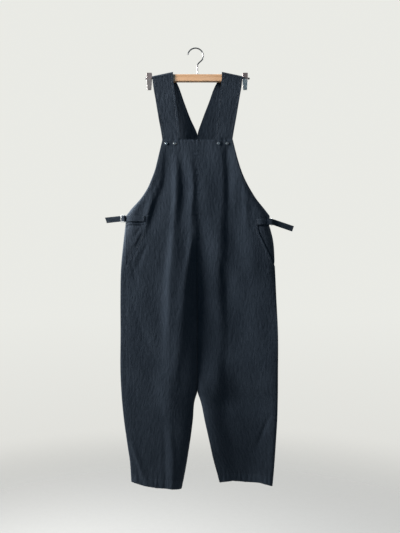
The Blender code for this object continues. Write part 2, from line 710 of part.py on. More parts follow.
def moved_vertices(extruded):
    return [item for item in extruded["geom"] if isinstance(item, bmesh.types.BMVert)]


def windowed_plate(xs, zs, windows, thickness):
    """A flat plate in the XZ plane on the grid lines xs and zs, with some of its cells left open."""
    shape = bmesh.new()
    points = [[shape.verts.new((x, -thickness / 2, z)) for x in xs] for z in zs]
    cells = [
        shape.faces.new((points[r][c], points[r][c + 1], points[r + 1][c + 1], points[r + 1][c]))
        for r in range(len(zs) - 1)
        for c in range(len(xs) - 1)
        if (r, c) not in windows
    ]
    extruded = bmesh.ops.extrude_face_region(shape, geom=cells)
    bmesh.ops.translate(shape, vec=(0, thickness, 0), verts=moved_vertices(extruded))
    return shape


def ring_place(side):
    """The slide ring's own frame: x outwards along the tab, y through the ring, z along its bars."""
    spec = ADJUSTERS[side]
    place = Matrix.Translation((side * spec.a, spec.y, spec.z))
    return place @ Matrix.Rotation(math.radians(side * spec.turn), 4, "Z")


def build_ring(side):
    wire = RING_WIRE
    xs = (-RING_BARS - wire, -RING_BARS + wire, -wire, wire, RING_BARS - wire, RING_BARS + wire)
    zs = (-RING_HALF_HEIGHT - wire, -RING_HALF_HEIGHT + wire, RING_HALF_HEIGHT - wire, RING_HALF_HEIGHT + wire)
    shape = windowed_plate(xs, zs, {(1, 1), (1, 3)}, 2 * wire)
    bmesh.ops.transform(shape, matrix=ring_place(side), verts=shape.verts)
    ring = solid(f"slide_ring_{side_name(side)}", shape, "ring")
    soften(ring, wire * 0.45)


def soften(piece, width):
    """A small bevel on a hard piece's edges."""
    bevel = piece.modifiers.new("edges", "BEVEL")
    bevel.width = width
    bevel.segments = 1
    bevel.limit_method = "ANGLE"


def spline(points, steps):
    """Points on a smooth curve through the given ones, with this many steps between two of them."""
    points = np.array(points, float)
    before = np.concatenate([[2 * points[0] - points[1]], points[:-1]])
    after = np.concatenate([points[1:], [2 * points[-1] - points[-2]]])
    slopes = (after - before) / 2
    found = []
    for i in range(len(points) - 1):
        for t in np.arange(steps) / steps:
            ends = (1 + 2 * t) * (1 - t) ** 2 * points[i] + t * t * (3 - 2 * t) * points[i + 1]
            found.append(ends + t * (1 - t) * ((1 - t) * slopes[i] - t * slopes[i + 1]))
    found.append(points[-1])
    return np.array(found)


def ribbon(name, side, path, middle, half_width, thickness, tilt=0.0, tilt_from=0.0, end_slant=0.0):
    """A flat strap that follows a path in plan. Beyond tilt_from it drops by the tilt, in degrees."""
    slope = math.tan(math.radians(tilt))
    along = np.gradient(path, axis=0)
    along /= np.linalg.norm(along, axis=1, keepdims=True)
    across = np.stack([-along[:, 1], along[:, 0]], axis=1) * thickness / 2
    faces = []
    for sign in (1, -1):
        line = path + sign * across
        rows = []
        for (a, y), (plain_a, _) in zip(line, path):
            beyond = max(0.0, plain_a - tilt_from) if tilt else 0.0
            turned = math.radians(tilt) * min(1.0, beyond / 0.008)
            last = end_slant * ease(plain_a, path[-1][0] - 0.004, path[-1][0])
            row = []
            for w in (half_width, -half_width):
                lean = w * math.sin(turned) + (w - half_width) * last
                row.append((side * (a + lean), y, middle - slope * beyond + w * math.cos(turned)))
            rows.append(row)
        faces.append(np.array(rows))
    shell(name, faces[0], faces[1], "strap_cloth")


def build_tab(side):
    """Sewn to the back at one end, it runs round the side and over the ring's centre bar."""
    spec = ADJUSTERS[side]
    sewn = [
        (a, float(cloth_y(side, "back", np.array(a), np.array(spec.z))) + 2 * GAP + TAB / 2)
        for a in np.linspace(TAB_SEWN_FROM, TAB_PATHS[side][0].a, 4)[:-1]
    ]
    path = spline(sewn + [tuple(point) for point in TAB_PATHS[side]], TAB_MESH_STEPS)
    name = f"side_tab_{side_name(side)}"
    ribbon(name, side, path, spec.z, TAB_WIDTH / 2, TAB, spec.tilt, TAB_TILT_FROM[side], spec.end_slant)


def build_carrier(side):
    """A strip sewn on the front, doubled round the ring's inner bar."""
    spec = ADJUSTERS[side]
    low, high = spec.z - CARRIER_HALF_HEIGHT, spec.z + CARRIER_HALF_HEIGHT
    under = []
    for a in np.linspace(spec.carrier_from, spec.carrier_leaves, 6):
        face = min(float(cloth_y(side, "front", np.array(a), np.array(z))) for z in (low, spec.z, high))
        under.append((a, face - GAP - CARRIER / 2))
    over = [(a, y - CARRIER - GAP) for a, y in reversed(under)]
    bar = ring_place(side) @ Vector((-side * RING_BARS, 0, 0))
    centre = (side * bar.x, bar.y)
    radius = RING_WIRE + GAP + CARRIER / 2
    leaves = math.atan2(under[-1][1] - centre[1], under[-1][0] - centre[0])
    turns = np.linspace(leaves + math.radians(75), leaves - math.radians(75), 9)
    loop = [(centre[0] - radius * math.cos(t), centre[1] - radius * math.sin(t)) for t in turns]
    path = np.array(under + loop + over)
    ribbon(f"tab_carrier_{side_name(side)}", side, path, spec.z, CARRIER_HALF_HEIGHT, CARRIER)


def build_studs():
    for number, x in enumerate(STUDS, start=1):
        side = LEFT if x < 0 else RIGHT
        face = float(cloth_y(side, "front", np.array(abs(x)), np.array(STUD_Z)))
        shape = bmesh.new()
        stem = Matrix.Translation((x, face - GAP - STUD_HEIGHT / 2, STUD_Z)) @ Matrix.Rotation(math.pi / 2, 4, "X")
        bmesh.ops.create_cone(
            shape, cap_ends=True, segments=20, radius1=STUD_RADIUS, radius2=STUD_RADIUS * 0.8,
            depth=STUD_HEIGHT, matrix=stem,
        )
        solid(f"stud_{number}", shape, "stud")


def turned(name, profile, x, z, finish, closed=False):
    """A round piece about an axis along X: profile is a list of (distance along X, radius)."""
    shape = bmesh.new()
    points = [shape.verts.new((x + along, 0, z + radius)) for along, radius in profile]
    pairs = list(zip(points, points[1:]))
    if closed:
        pairs.append((points[-1], points[0]))
    edges = [shape.edges.new(pair) for pair in pairs]
    bmesh.ops.spin(
        shape, geom=points + edges, cent=(x, 0, z), axis=(1, 0, 0), angle=2 * math.pi, steps=16, use_merge=True
    )
    bmesh.ops.remove_doubles(shape, verts=shape.verts, dist=1e-6)
    return solid(name, shape, finish)


def build_bar():
    shape = bmesh.new()
    size = (2 * BAR_HALF_LENGTH, 2 * BAR_HALF_DEPTH, BAR_TOP - BAR_BOTTOM)
    place = Matrix.Translation((0, 0, (BAR_TOP + BAR_BOTTOM) / 2)) @ Matrix.Diagonal((*size, 1))
    bmesh.ops.create_cube(shape, size=1, matrix=place)
    bar = solid("hanger_bar", shape, "wood")
    edges = bar.modifiers.new("edges", "BEVEL")
    edges.width = 0.0022
    edges.segments = 3


def build_rod(side):
    """From the bar's end out through the clip to its round end knob."""
    start, end = BAR_HALF_LENGTH + GAP, ROD_HALF_LENGTH
    knob = ROD_KNOB
    profile = (
        (0, 0), (0, ROD_RADIUS), (end - start - 2 * knob, ROD_RADIUS), (end - start - 1.6 * knob, knob * 0.85),
        (end - start - knob, knob), (end - start - 0.4 * knob, knob * 0.8), (end - start, 0),
    )
    turned(f"hanger_rod_{side_name(side)}", [(side * a, r) for a, r in profile], side * start, ROD_Z, "wire")


def build_hook():
    centre = Vector((HOOK_CENTRE_X, 0, -math.sqrt(HOOK_INSIDE**2 - HOOK_CENTRE_X**2)))
    radius = HOOK_INSIDE + HOOK_WIRE
    turns = [math.radians(t) for t in np.linspace(HOOK_TIP_ANGLE, HOOK_LEAVES_ANGLE, 26)]
    points = [centre + radius * Vector((math.cos(t), 0, math.sin(t))) for t in turns]
    leaving = Vector((math.sin(turns[-1]), 0, -math.cos(turns[-1])))
    stem = Vector((0, 0, STEM_TOP))
    start, pull = points[-1], (points[-1] - stem).length
    for t in np.linspace(0, 1, 9)[1:]:
        ends = (1 + 2 * t) * (1 - t) ** 2 * start + t * t * (3 - 2 * t) * stem
        points.append(ends + t * (1 - t) * pull * ((1 - t) * leaving - t * Vector((0, 0, -1))))
    points.append(Vector((0, 0, BAR_TOP + GAP)))
    curve = bpy.data.curves.new("hanger_hook", "CURVE")
    curve.dimensions = "3D"
    curve.bevel_depth = HOOK_WIRE
    curve.bevel_resolution = 3
    curve.use_fill_caps = True
    route = curve.splines.new("POLY")
    route.points.add(len(points) - 1)
    for point, place in zip(route.points, points):
        point.co = (*place, 1)
    hook = bpy.data.objects.new("hanger_hook", curve)
    bpy.context.scene.collection.objects.link(hook)
    curve.materials.append(material("wire"))


def build_clip(side):
    """Two sheet-metal jaws, closed at the foot, on a spring barrel that turns on the rod."""
    x, name = CLIP_X[side], side_name(side)
    length = 2 * BARREL_HALF_LENGTH
    bore = ROD_RADIUS + ROD_PLAY
    tube = ((0, bore), (0, BARREL_RADIUS), (length, BARREL_RADIUS), (length, bore))
    turned(f"clip_{name}_barrel", tube, x - length / 2, ROD_Z, "clip", closed=True)
    shoulder = BARREL_RADIUS + GAP + CLIP_SHEET / 2
    for jaw, face in (("front", -1), ("back", 1)):
        shape = windowed_plate((-1, 1), (CLIP_FOOT, CLIP_NECK, CLIP_TOP), set(), CLIP_SHEET)
        for vertex in shape.verts:
            share = np.clip((vertex.co.z - CLIP_NECK) / (CLIP_FOOT - CLIP_NECK), 0, 1)
            half = CLIP_HALF_TOP + (CLIP_HALF_FOOT - CLIP_HALF_TOP) * share
            stand = shoulder + (CLIP_MOUTH + CLIP_SHEET / 2 - shoulder) * share
            vertex.co.x = x + vertex.co.x * half
            vertex.co.y += face * stand
        soften(solid(f"clip_{name}_jaw_{jaw}", shape, "clip"), 0.0003)


def main():
    for obj in list(bpy.data.objects):
        bpy.data.objects.remove(obj)
    for side in (LEFT, RIGHT):
        build_front(side)
        build_back(side)
        build_front_strap(side)
        build_facing(side)
        build_carrier(side)
        build_ring(side)
        build_tab(side)
        build_rod(side)
        build_clip(side)
    build_studs()
    build_bar()
    build_hook()


main()
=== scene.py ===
"""Dungarees on a clip hanger: the looks of the part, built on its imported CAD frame.

Blender 4.5, metres. +X is image right, -Y is the front, +Z is up, and the origin is the inside top of
the hanger's hook.
"""

import math
from collections import namedtuple

import bmesh
import bpy
import numpy as np
from mathutils import Matrix, Vector


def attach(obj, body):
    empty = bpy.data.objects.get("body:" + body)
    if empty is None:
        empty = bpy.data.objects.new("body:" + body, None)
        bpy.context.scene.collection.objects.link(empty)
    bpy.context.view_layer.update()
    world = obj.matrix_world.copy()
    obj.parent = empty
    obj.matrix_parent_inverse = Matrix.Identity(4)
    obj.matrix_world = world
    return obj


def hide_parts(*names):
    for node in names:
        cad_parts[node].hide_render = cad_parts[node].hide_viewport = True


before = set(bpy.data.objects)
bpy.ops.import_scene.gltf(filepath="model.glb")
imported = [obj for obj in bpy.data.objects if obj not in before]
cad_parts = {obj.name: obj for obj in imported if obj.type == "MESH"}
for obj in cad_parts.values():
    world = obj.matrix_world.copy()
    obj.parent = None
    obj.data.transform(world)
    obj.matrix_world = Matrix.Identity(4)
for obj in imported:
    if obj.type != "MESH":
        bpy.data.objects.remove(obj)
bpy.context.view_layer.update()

# ---------------------------------------------------------------- sizes, the same as in the CAD
LEFT, RIGHT = -1, 1
SIDES = {LEFT: "left", RIGHT: "right"}
FACES = ("front", "back")
CLOTH = 0.0012
STRAP = 0.0020
TAB = 0.0014
GAP = 0.0003
SEAM = 0.00008  # what is left open between two panels that are sewn together

BIB_TOP = -0.283
VEE_APEX = -0.264
ARMHOLE_END = -0.517
POCKET_TOP = -0.545
CROTCH = -0.777
LEGS_PART = -1.063
HEM = -1.345
FLOOR_Z = -1.75
CREASE_START = -0.560
CONTACT_SLANT = 0.12
SEAM_LEFT = 0.219
SEAM_RIGHT_BEHIND = 0.006
OUTER_ROUND = 14.0
INNER_ROUND = {LEFT: 4.0, RIGHT: 8.0}

BAR_HALF_DEPTH = 0.008
BAR_TOP = -0.080
FOLD_REACH = BAR_HALF_DEPTH + GAP + CLOTH
FOLD_RISE = 0.0085
SEAM_BELOW_FOLD = 0.009


def table(columns, *rows):
    """Rows of named columns, written in millimetres and kept in metres."""
    row = namedtuple("row", columns)
    return [row(*(value / 1000 for value in values)) for values in rows]


BODY = table(
    "z left right front back",
    (-517, 221, 224, 18.5, 14),
    (-545, 223, 224.5, 19, 15),
    (-592, 227.5, 234, 20, 17),
    (-684, 235, 239.5, 21, 19),
    (-777, 236.5, 244, 22, 20),
    (-870, 236, 248.5, 22, 20),
    (-1010, 236, 249, 22, 20),
    (-1087, 231.5, 249, 22, 20),
    (-1150, 225, 248, 22, 19.5),
    (-1212, 216.5, 244.5, 21.5, 19),
    (-1273, 208, 240, 21, 18.5),
    (-1345, 203.5, 233, 20, 18),
)
BIB = table(
    "z left right front back front_edge back_edge",
    (-283, 108, 109, 12.2, 10, 11.8, 9.8),
    (-343, 122, 124, 15, 10.5, 14.6, 9.8),
    (-374, 129.5, 133.5, 16.5, 11, 15.4, 9.5),
    (-405, 141, 146, 17.5, 11.8, 15.2, 8.5),
    (-436, 155, 162.5, 18.2, 12.5, 13.8, 7),
    (-467, 176.5, 182.5, 18.6, 13, 10.5, 5),
    (-498, 205.5, 208.5, 18.6, 13.7, 4.5, 2),
    (-517, 221, 224, 18.5, 14, 0, 0),
)
INSEAM = table(
    "z left right",
    (-777, -2.5, -2.5),
    (-1040, -2.5, -2.5),
    (-1063, 0.6, 0.6),
    (-1087, 7.8, 9),
    (-1150, 14, 23),
    (-1212, 22, 37),
    (-1273, 32.5, 50),
    (-1345, 48.5, 68),
)
# depth of each leg's front, and how far forward its inner and outer edges lie
LEGS = table(
    "z left right inner_left inner_right outer_left outer_right",
    (-545, 19, 19, 0, 0, 0, 0),
    (-600, 20, 17.5, 0, 0, 9, 7),
    (-684, 20.5, 13.5, 0, 0, 17, 10),
    (-777, 21, 11, 0, 0, 18.5, 9),
    (-950, 21, 11, 0, 0, 18.5, 9),
    (-1060, 21, 16.5, 0, 4, 18.5, 4.5),
    (-1150, 20.5, 24, 0, 18, 17.5, -3),
    (-1345, 20, 23, 0, 19, 15, -2),
)
STRAPS = table(
    "z outer inner vee_left vee_right",
    (-78, 140, 76, 76, 76),
    (-110, 137.2, 73.5, 60.3, 56.2),
    (-163, 128.5, 66.5, 41, 35.8),
    (-217, 119.5, 60, 20.5, 15.2),
    (-264, 111, 56, 0, 0),
    (-315, 104, 54, 0, 0),
)
SHOULDER_INNER = (0.076, -0.071)
SHOULDER_OUTER = (0.1400, -0.0846)
SHOULDER_WIDTH = SHOULDER_OUTER[0] - SHOULDER_INNER[0]
STRAP_END = -0.312
BACK_ARMHOLE_INSET = 0.010
BACK_STRAP_INSET = 0.004

HEM_LINE = {LEFT: (-0.016, -0.012, -0.009, -0.002, 0.010), RIGHT: (0.008, 0.010, 0.004, 0.001, -0.010)}
HEM_EASE = 0.12
HEM_DEPTH = 0.025

Slant = namedtuple("Slant", "x_top x_knee x_foot z_knee z_foot")
POCKETS = {
    LEFT: Slant(0.163, 0.169, 0.224, -0.573, -0.682),
    RIGHT: Slant(0.183, 0.189, 0.240, -0.573, -0.676),
}
FACING_LAP = 0.012
FACING_TURNS = 0.86  # share of the front's width where it turns round the side and needs fewer columns
OUTLINE_FRONT, OUTLINE_BACK = -0.08, 0.03  # depth of the outlines that trim a panel

STUDS = (-0.0964, -0.0704, 0.0648, 0.0911)
STUD_Z = -0.295
STUD_RADIUS = 0.0045
STUD_HEIGHT = 0.0022

TAB_WIDTH = 0.0175
RING_HALF_HEIGHT = 0.0105
RING_BARS = 0.0093
RING_WIRE = 0.0009
RING_CORNER = 0.0021
CARRIER = 0.0012
CARRIER_HALF_HEIGHT = 0.0090
Adjuster = namedtuple("Adjuster", "a y z turn tilt end_slant carrier_from carrier_leaves")
ADJUSTERS = {
    LEFT: Adjuster(0.2254, -0.0142, -0.5267, 0.0, 6.0, 0.30, 0.163, 0.2070),
    RIGHT: Adjuster(0.2292, -0.0070, -0.5360, 80.0, 18.7, 0.0, 0.183, 0.2130),
}
TAB_SEWN_FROM = 0.190
TAB_PATHS = {  # (distance from the centre, depth) round the side and through the ring
    LEFT: table("a y", (218, 8.5), (223.6, 4.5), (225, 0), (223.8, -4.5), (221.4, -8.5), (220.4, -11.4),
        (220.9, -14.3), (222.8, -16.3), (225.4, -16.9), (228.4, -16), (230.6, -13.9), (234, -12),
        (250, -11.3), (284.4, -10.3)),
    RIGHT: table("a y", (218, 10), (227, 6.2), (231.5, 5.6), (234.2, 3.5), (233.8, 0.2), (230.8, -2.2),
        (227.6, -4.2), (226.5, -7), (227.6, -10), (230.8, -11.6), (235, -11.8), (248, -11.2), (294.8, -10)),
}
TAB_TILT_FROM = {LEFT: 0.2340, RIGHT: 0.2300}
HOOK_WIRE = 0.002
HOOK_INSIDE = 0.022
HOOK_CENTRE_X = -0.006
HOOK_TIP_ANGLE = 172.0
HOOK_LEAVES_ANGLE = -22.0
STEM_TOP = -0.052

STITCH_PITCH = 0.0032
STITCH_LENGTH = 0.0023
STITCH_HALF_WIDTH = 0.00030
STITCH_HALF_HEIGHT = 0.00022
STITCH_LIFT = 0.0001
STITCH_INSET = 0.006
SEWN_SHORT = 0.004  # how far from a panel's corners its stitches end
HEM_KEPT = 0.0045  # the distance from an edge that the hem keeps as far up as its own stitches
FAR = 1.0  # no finished edge near

# ---------------------------------------------------------------- creases
# Each crease has a lean, where a positive one makes its right flank the wider one, and runs down through
# (z, x, half-width, rise) in millimetres. A negative rise is a trough. x is measured across the garment,
# not towards a side.
FRONT_CREASES = (
    # the bib's left side: the armhole's edge stands forward, and the cloth falls away beside it
    (0, (-285, -108, 14, 0), (-330, -121, 16, 2), (-374, -134, 18, 3.4), (-421, -152, 18, 3.4),
        (-467, -178, 17, 2.6), (-500, -198, 18, 3.6), (-530, -208, 18, 3.6), (-570, -212, 16, 1.6),
        (-600, -214, 14, 0)),
    (0.5, (-290, -94, 14, 0), (-330, -96, 15, -1.2), (-374, -98, 16, -3), (-421, -104, 18, -4),
        (-467, -120, 21, -3.6), (-514, -138, 20, -3.4), (-575, -140, 18, 0)),
    (-0.1, (-425, -136, 10, 0), (-467, -142, 10, 2), (-514, -152, 10, 3.6), (-560, -162, 10, 1.8),
        (-600, -168, 10, 0)),
    # the main ridge down the bib, its trough, and the step that it becomes on the leg
    (0.2, (-290, -72, 11, 0), (-328, -70, 11, 0.9), (-374, -66, 12, 3.4), (-421, -66, 12, 4.7),
        (-467, -66, 12, 5.2), (-514, -70, 12, 4.3), (-560, -72, 13, 3.1), (-622, -76, 13, 1.9),
        (-684, -83, 12, 0.8), (-740, -88, 11, 0)),
    (0.2, (-290, -48, 9, 0), (-330, -50, 9, -0.6), (-374, -48, 10, -1.6), (-421, -46, 11, -2),
        (-467, -46, 11, -2), (-514, -50, 11, -1.2), (-560, -54, 11, 0)),
    (0.5, (-530, -70, 26, 0), (-600, -74, 29, 4.4), (-684, -80, 32, 7.8), (-746, -83, 33, 9.2),
        (-808, -84, 35, 9.8), (-870, -85, 37, 8.5), (-932, -86, 43, 7), (-994, -80, 46, 5.5),
        (-1080, -78, 40, 3.5), (-1180, -78, 30, 0)),
    # the second ridge, left of the centre seam
    (-0.1, (-290, -22, 10, 0), (-328, -24, 11, 0.8), (-374, -17, 11, 2.8), (-421, -13, 10, 3.9),
        (-467, -15, 10, 3.7), (-514, -18, 10, 2.8), (-560, -18, 9, 1), (-622, -22, 10, 3.6),
        (-684, -30, 13, 4.5), (-746, -37, 16, 5.5), (-808, -42, 18, 5.2), (-870, -48, 20, 4.6),
        (-932, -56, 20, 3.6), (-994, -64, 13, 2.2), (-1060, -64, 12, 0)),
    # the centre: a trough from the hip down, where the right leg lies lower than the left one
    (0.4, (-440, 4, 12, 0), (-540, 6, 16, -3), (-600, 10, 22, -5.8), (-684, 16, 28, -8),
        (-780, 16, 28, -5.5), (-950, 16, 28, -4.5), (-1050, 14, 24, 0)),
    # the strong trough down the bib, the step down that it becomes on the leg, and the leg's foot
    (0.2, (-285, 92, 10, 0), (-328, 90, 12, -2.6), (-374, 94, 13, -3.6), (-421, 95, 14, -5),
        (-467, 94, 14, -2.8), (-500, 92, 14, 0)),
    (0.6, (-421, 98, 30, 0), (-467, 98, 34, -4), (-514, 96, 38, -7), (-575, 94, 42, -4.5),
        (-640, 94, 42, 0)),
    (0.6, (-520, 94, 40, 0), (-600, 96, 44, -5), (-684, 94, 46, -7.8), (-746, 92, 46, -8),
        (-808, 94, 46, -7.5), (-870, 98, 50, -7.5), (-994, 92, 56, -7.5), (-1080, 95, 60, -5.5),
        (-1160, 100, 60, 0)),
    (0.05, (-960, 130, 60, 0), (-1040, 155, 85, -12), (-1100, 185, 108, -25),
        (-1200, 205, 120, -31.5), (-1290, 200, 115, -30), (-1372, 195, 110, -26.5)),
    (0.3, (-1030, 70, 44, 0), (-1090, 78, 48, -7), (-1150, 90, 48, -8), (-1240, 112, 48, -6),
        (-1372, 125, 46, -3.5)),
    (0, (-640, 76, 6, 0), (-684, 78, 7, -2.2), (-730, 78, 7, 0)),
    # the right hip: the armhole's edge stands forward, with a swell beside it
    (0, (-285, 110, 16, 0), (-328, 122, 18, 3), (-374, 137, 20, 4.2), (-421, 153, 22, 4.2),
        (-467, 176, 22, 3.4), (-510, 205, 20, 0)),
    (0, (-400, 136, 10, 0), (-440, 146, 11, 2.2), (-514, 151, 11, 2.2), (-580, 152, 14, 0)),
    (0, (-560, 176, 20, 0), (-650, 174, 22, 1.8), (-740, 174, 24, 1.4), (-840, 172, 26, 0)),
    # the side seam sinks in a little
    (0, (-585, -222, 3.5, 0), (-640, -222, 3.5, -1.2), (-860, -222, 3.5, -1),
        (-1060, -221.5, 3.5, -1.2), (-1120, -221, 3.5, 0)),
    # left thigh: a slanting crease from the side seam, and a broad swell above the knee
    (0, (-770, -214, 10, 0), (-810, -194, 10, -0.8), (-880, -162, 10, -0.6), (-960, -132, 11, -0.6),
        (-1010, -124, 12, 0)),
    (0.2, (-960, -118, 26, 0), (-1040, -104, 28, 3.6), (-1120, -90, 26, 4), (-1200, -80, 22, 2.2),
        (-1260, -78, 20, 0)),
    # lower left leg: a narrow ridge, the trough before it, and the folded corner at the hem
    (-0.1, (-1120, -84, 9, 0), (-1196, -82, 9, 1.8), (-1242, -77, 10, 2.4), (-1300, -75, 10, 2.7),
        (-1350, -75, 10, 2.7), (-1372, -75, 10, 2.5)),
    (0, (-1160, -103, 8, 0), (-1230, -100, 8, -1.4), (-1300, -98, 8, -1.6), (-1372, -98, 8, -1.2)),
    (0.3, (-1190, -206, 8, 0), (-1235, -196, 9, 2.6), (-1290, -176, 10, 3), (-1345, -156, 10, 1.2)),
    # right leg: a slanting crease from the outer edge
    (0, (-1110, 236, 9, 0), (-1150, 218, 9, -1.2), (-1215, 192, 9, -1.4), (-1260, 178, 10, 0)),
    # slanting wrinkles by the left pocket
    (0, (-545, -168, 5, 0), (-560, -178, 5, -1), (-580, -192, 5, -0.9), (-596, -203, 5, 0)),
    (0, (-590, -146, 6, 0), (-620, -162, 6, -1), (-660, -178, 6, -1), (-690, -188, 6, 0)),
    (0, (-600, -168, 5, 0), (-640, -186, 5, 0.8), (-690, -204, 6, 0)),
    (0, (-660, -202, 6, 0), (-700, -192, 6, -1.1), (-750, -176, 7, 0)),
)
BACK_CREASES = (  # similar to the front's, uneven in length and depth
    (0, (-300, -66, 12, 0), (-420, -70, 14, 3), (-560, -75, 14, 3.8), (-720, -83, 15, 3.6),
        (-900, -92, 16, 0)),
    (0.2, (-320, 80, 12, 0), (-440, 86, 13, -3.4), (-620, 90, 14, -4.2), (-850, 94, 16, -4.6),
        (-1050, 98, 16, 0)),
    (0, (-700, -120, 12, 0), (-850, -127, 15, -3.2), (-1000, -130, 16, -3.6), (-1180, -124, 15, -2.6),
        (-1330, -118, 12, 0)),
    (0, (-780, 150, 14, 0), (-920, 156, 16, 3.4), (-1050, 160, 16, 3.6), (-1200, 155, 15, 2),
        (-1320, 150, 12, 0)),
    (0, (-300, -26, 9, 0), (-400, -24, 10, -2), (-520, -28, 10, -2.4), (-640, -36, 10, 0)),
    (0, (-310, 34, 9, 0), (-430, 36, 10, 2.2), (-560, 40, 12, 2), (-700, 46, 12, 0)),
    (0, (-560, -190, 8, 0), (-640, -170, 10, -2.4), (-730, -140, 10, 0)),
    (0, (-620, 200, 8, 0), (-700, 182, 10, -2.4), (-790, 160, 10, 0)),
    (0, (-900, -70, 12, 0), (-1040, -74, 13, 3), (-1200, -90, 12, 3), (-1350, -100, 10, 1.2)),
    (0, (-1000, 110, 12, 0), (-1120, 120, 13, -3), (-1260, 132, 12, -2.6), (-1350, 138, 10, 0)),
    (0, (-1060, -190, 10, 0), (-1130, -176, 10, 2.4), (-1210, -156, 10, 0)),
)
CREASE_LIFT = 0.76
WAVES = 16  # slow unevenness of the cloth, the same on every run
CRUMPLE = 26  # and its finer, washed crumple
SLOW_LIFT, FINE_LIFT = 0.0004, 0.00006
SEED = 41
UNEVEN_BELOW = (0.15, 0.23)  # where the unevenness sets in below the hanger
ARMHOLE_FOLDS = 0.35  # share of the folds that is left at the armhole's edge
POCKET_GAPE, GAPE_REACH = 0.0005, 0.011


# ---------------------------------------------------------------- curves, the same as in the CAD
def unit(vectors):
    return vectors / np.linalg.norm(vectors, axis=-1, keepdims=True)


def mix(first, last, share):
    return first + (last - first) * share


def eased(t, first, last, leaving, arriving, span=1.0):
    """A point of the cubic from first to last with these slopes at its ends, for t from 0 to 1."""
    ends = (1 + 2 * t) * (1 - t) ** 2 * first + t * t * (3 - 2 * t) * last
    return ends + t * (1 - t) * ((1 - t) * leaving - t * arriving) * span


def through(rows, column, flat_ends=False):
    """A smooth function of height through one column of a table, held level past both ends."""
    stops = np.array([row.z for row in rows])[::-1]
    values = np.array([getattr(row, column) for row in rows])[::-1]
    slopes = np.gradient(values, stops)
    if flat_ends:
        slopes[0] = slopes[-1] = 0.0

    def at(z):
        z = np.clip(z, stops[0], stops[-1])
        i = np.clip(np.searchsorted(stops, z) - 1, 0, len(stops) - 2)
        span = stops[i + 1] - stops[i]
        return eased((z - stops[i]) / span, values[i], values[i + 1], slopes[i], slopes[i + 1], span)

    return at


def by_side(rows, start=""):
    """The columns of a table for the left and the right side."""
    return {side: through(rows, start + name) for side, name in SIDES.items()}


def ease(value, start, end):
    """0 before start and 1 after end, with a soft step between."""
    t = np.clip((value - start) / (end - start), 0.0, 1.0)
    return t * t * (3 - 2 * t)


def body_curve(column):
    """A column of the body's table below the armhole's end, and of the bib's above it."""
    below = through(BODY, column)
    above = through(BIB, column)
    return lambda z: np.where(z > ARMHOLE_END, above(z), below(z))


OUTER = {side: body_curve(name) for side, name in SIDES.items()}
BULGE = {face: body_curve(face) for face in FACES}
EDGE = {face: through(BIB, face + "_edge") for face in FACES}
INNER = by_side(INSEAM)
LEG_FRONT = by_side(LEGS)
INNER_AT = by_side(LEGS, "inner_")
OUTER_AT = by_side(LEGS, "outer_")
STRAP_OUTER = through(STRAPS, "outer")
STRAP_INNER = through(STRAPS, "inner")
VEE = by_side(STRAPS, "vee_")


def crease_curves(lean, *rows):
    rows = table("z x width rise", *rows)
    return lean, through(rows, "x"), through(rows, "width"), through(rows, "rise", flat_ends=True)


CREASES = {
    "front": [crease_curves(*crease) for crease in FRONT_CREASES],
    "back": [crease_curves(*crease) for crease in BACK_CREASES],
}


def waves(count, across, along, seed):
    """Plane waves for an uneven surface: two wave numbers, a phase and a share each."""
    rng = np.random.default_rng(seed)
    first = 2 * math.pi / rng.uniform(*across, count)
    second = 2 * math.pi / rng.uniform(*along, count) * rng.choice([-1, 1], count)
    return np.stack([first, second, rng.uniform(0, 2 * math.pi, count), rng.uniform(0.5, 1.0, count)], axis=1)


SLOW = {face: waves(WAVES, (0.045, 0.130), (0.16, 0.50), SEED + i) for i, face in enumerate(FACES)}
FINE = {face: waves(CRUMPLE, (0.011, 0.030), (0.022, 0.090), SEED + 7 + i) for i, face in enumerate(FACES)}


def uneven(found, x, z):
    """The sum of plane waves at a place, between about -1 and 1."""
    total = sum(share * np.sin(first * x + second * z + phase) for first, second, phase, share in found)
    return total / math.sqrt(len(found) / 2)


def parting(z):
    """How far the garment is divided into two legs at this height: 0 at the bib, 1 at the crotch."""
    return ease(-z, -CREASE_START, -CROTCH)


def inner_edge(side, z):
    """The middle of the garment, or a leg's inner edge, as a distance towards the side."""
    return np.where(z > CROTCH, INNER[side](CROTCH) * parting(z), INNER[side](z))


def from_share(side, share, z):
    """The distance towards the side at this share of the way from a leg's inner to its outer edge."""
    return mix(inner_edge(side, z), OUTER[side](z), share)


def to_share(side, a, z):
    """The share at which a distance towards the side lies."""
    inner = inner_edge(side, z)
    return (a - inner) / (OUTER[side](z) - inner)


def puckers(along, pitch, phase):
    """Small uneven gathers along a seam."""
    turn = 2 * math.pi * along / pitch + phase
    return np.sin(turn + 0.9 * np.sin(turn * 0.37)) * (0.65 + 0.35 * np.sin(turn * 0.23 + phase))


def seam_puckers(side, face, a, z):
    """Gathers beside the side seam, the centre seam, the hem and the bib's top."""
    x = side * a
    seams = [  # lift, place along the seam, pitch, phase, distance from the seam, reach
        (0.0007, z, 0.013, 2.0 * side, OUTER[side](z) - a, 0.011),
        (0.0005, z, 0.015, 1.1, a - inner_edge(side, z), 0.010),
        (0.0006, x, 0.016, 0.4, z - HEM - 0.012, 0.016),
        (0.0004, x, 0.0165, 0.7, z - BIB_TOP, 0.017),
    ]
    total = 0.0
    for lift, along, pitch, phase, off, reach in seams if face == "front" else seams[:3]:
        total = total + lift * puckers(along, pitch, phase) * np.exp(-np.abs(off) / reach)
    return total


def pocket_line(side):
    """Where the slanted pocket opening runs, as a function of height."""
    slant = POCKETS[side]
    stops = -POCKET_TOP, -slant.z_knee, -slant.z_foot
    return lambda z: np.interp(-z, stops, (slant.x_top, slant.x_knee, slant.x_foot))


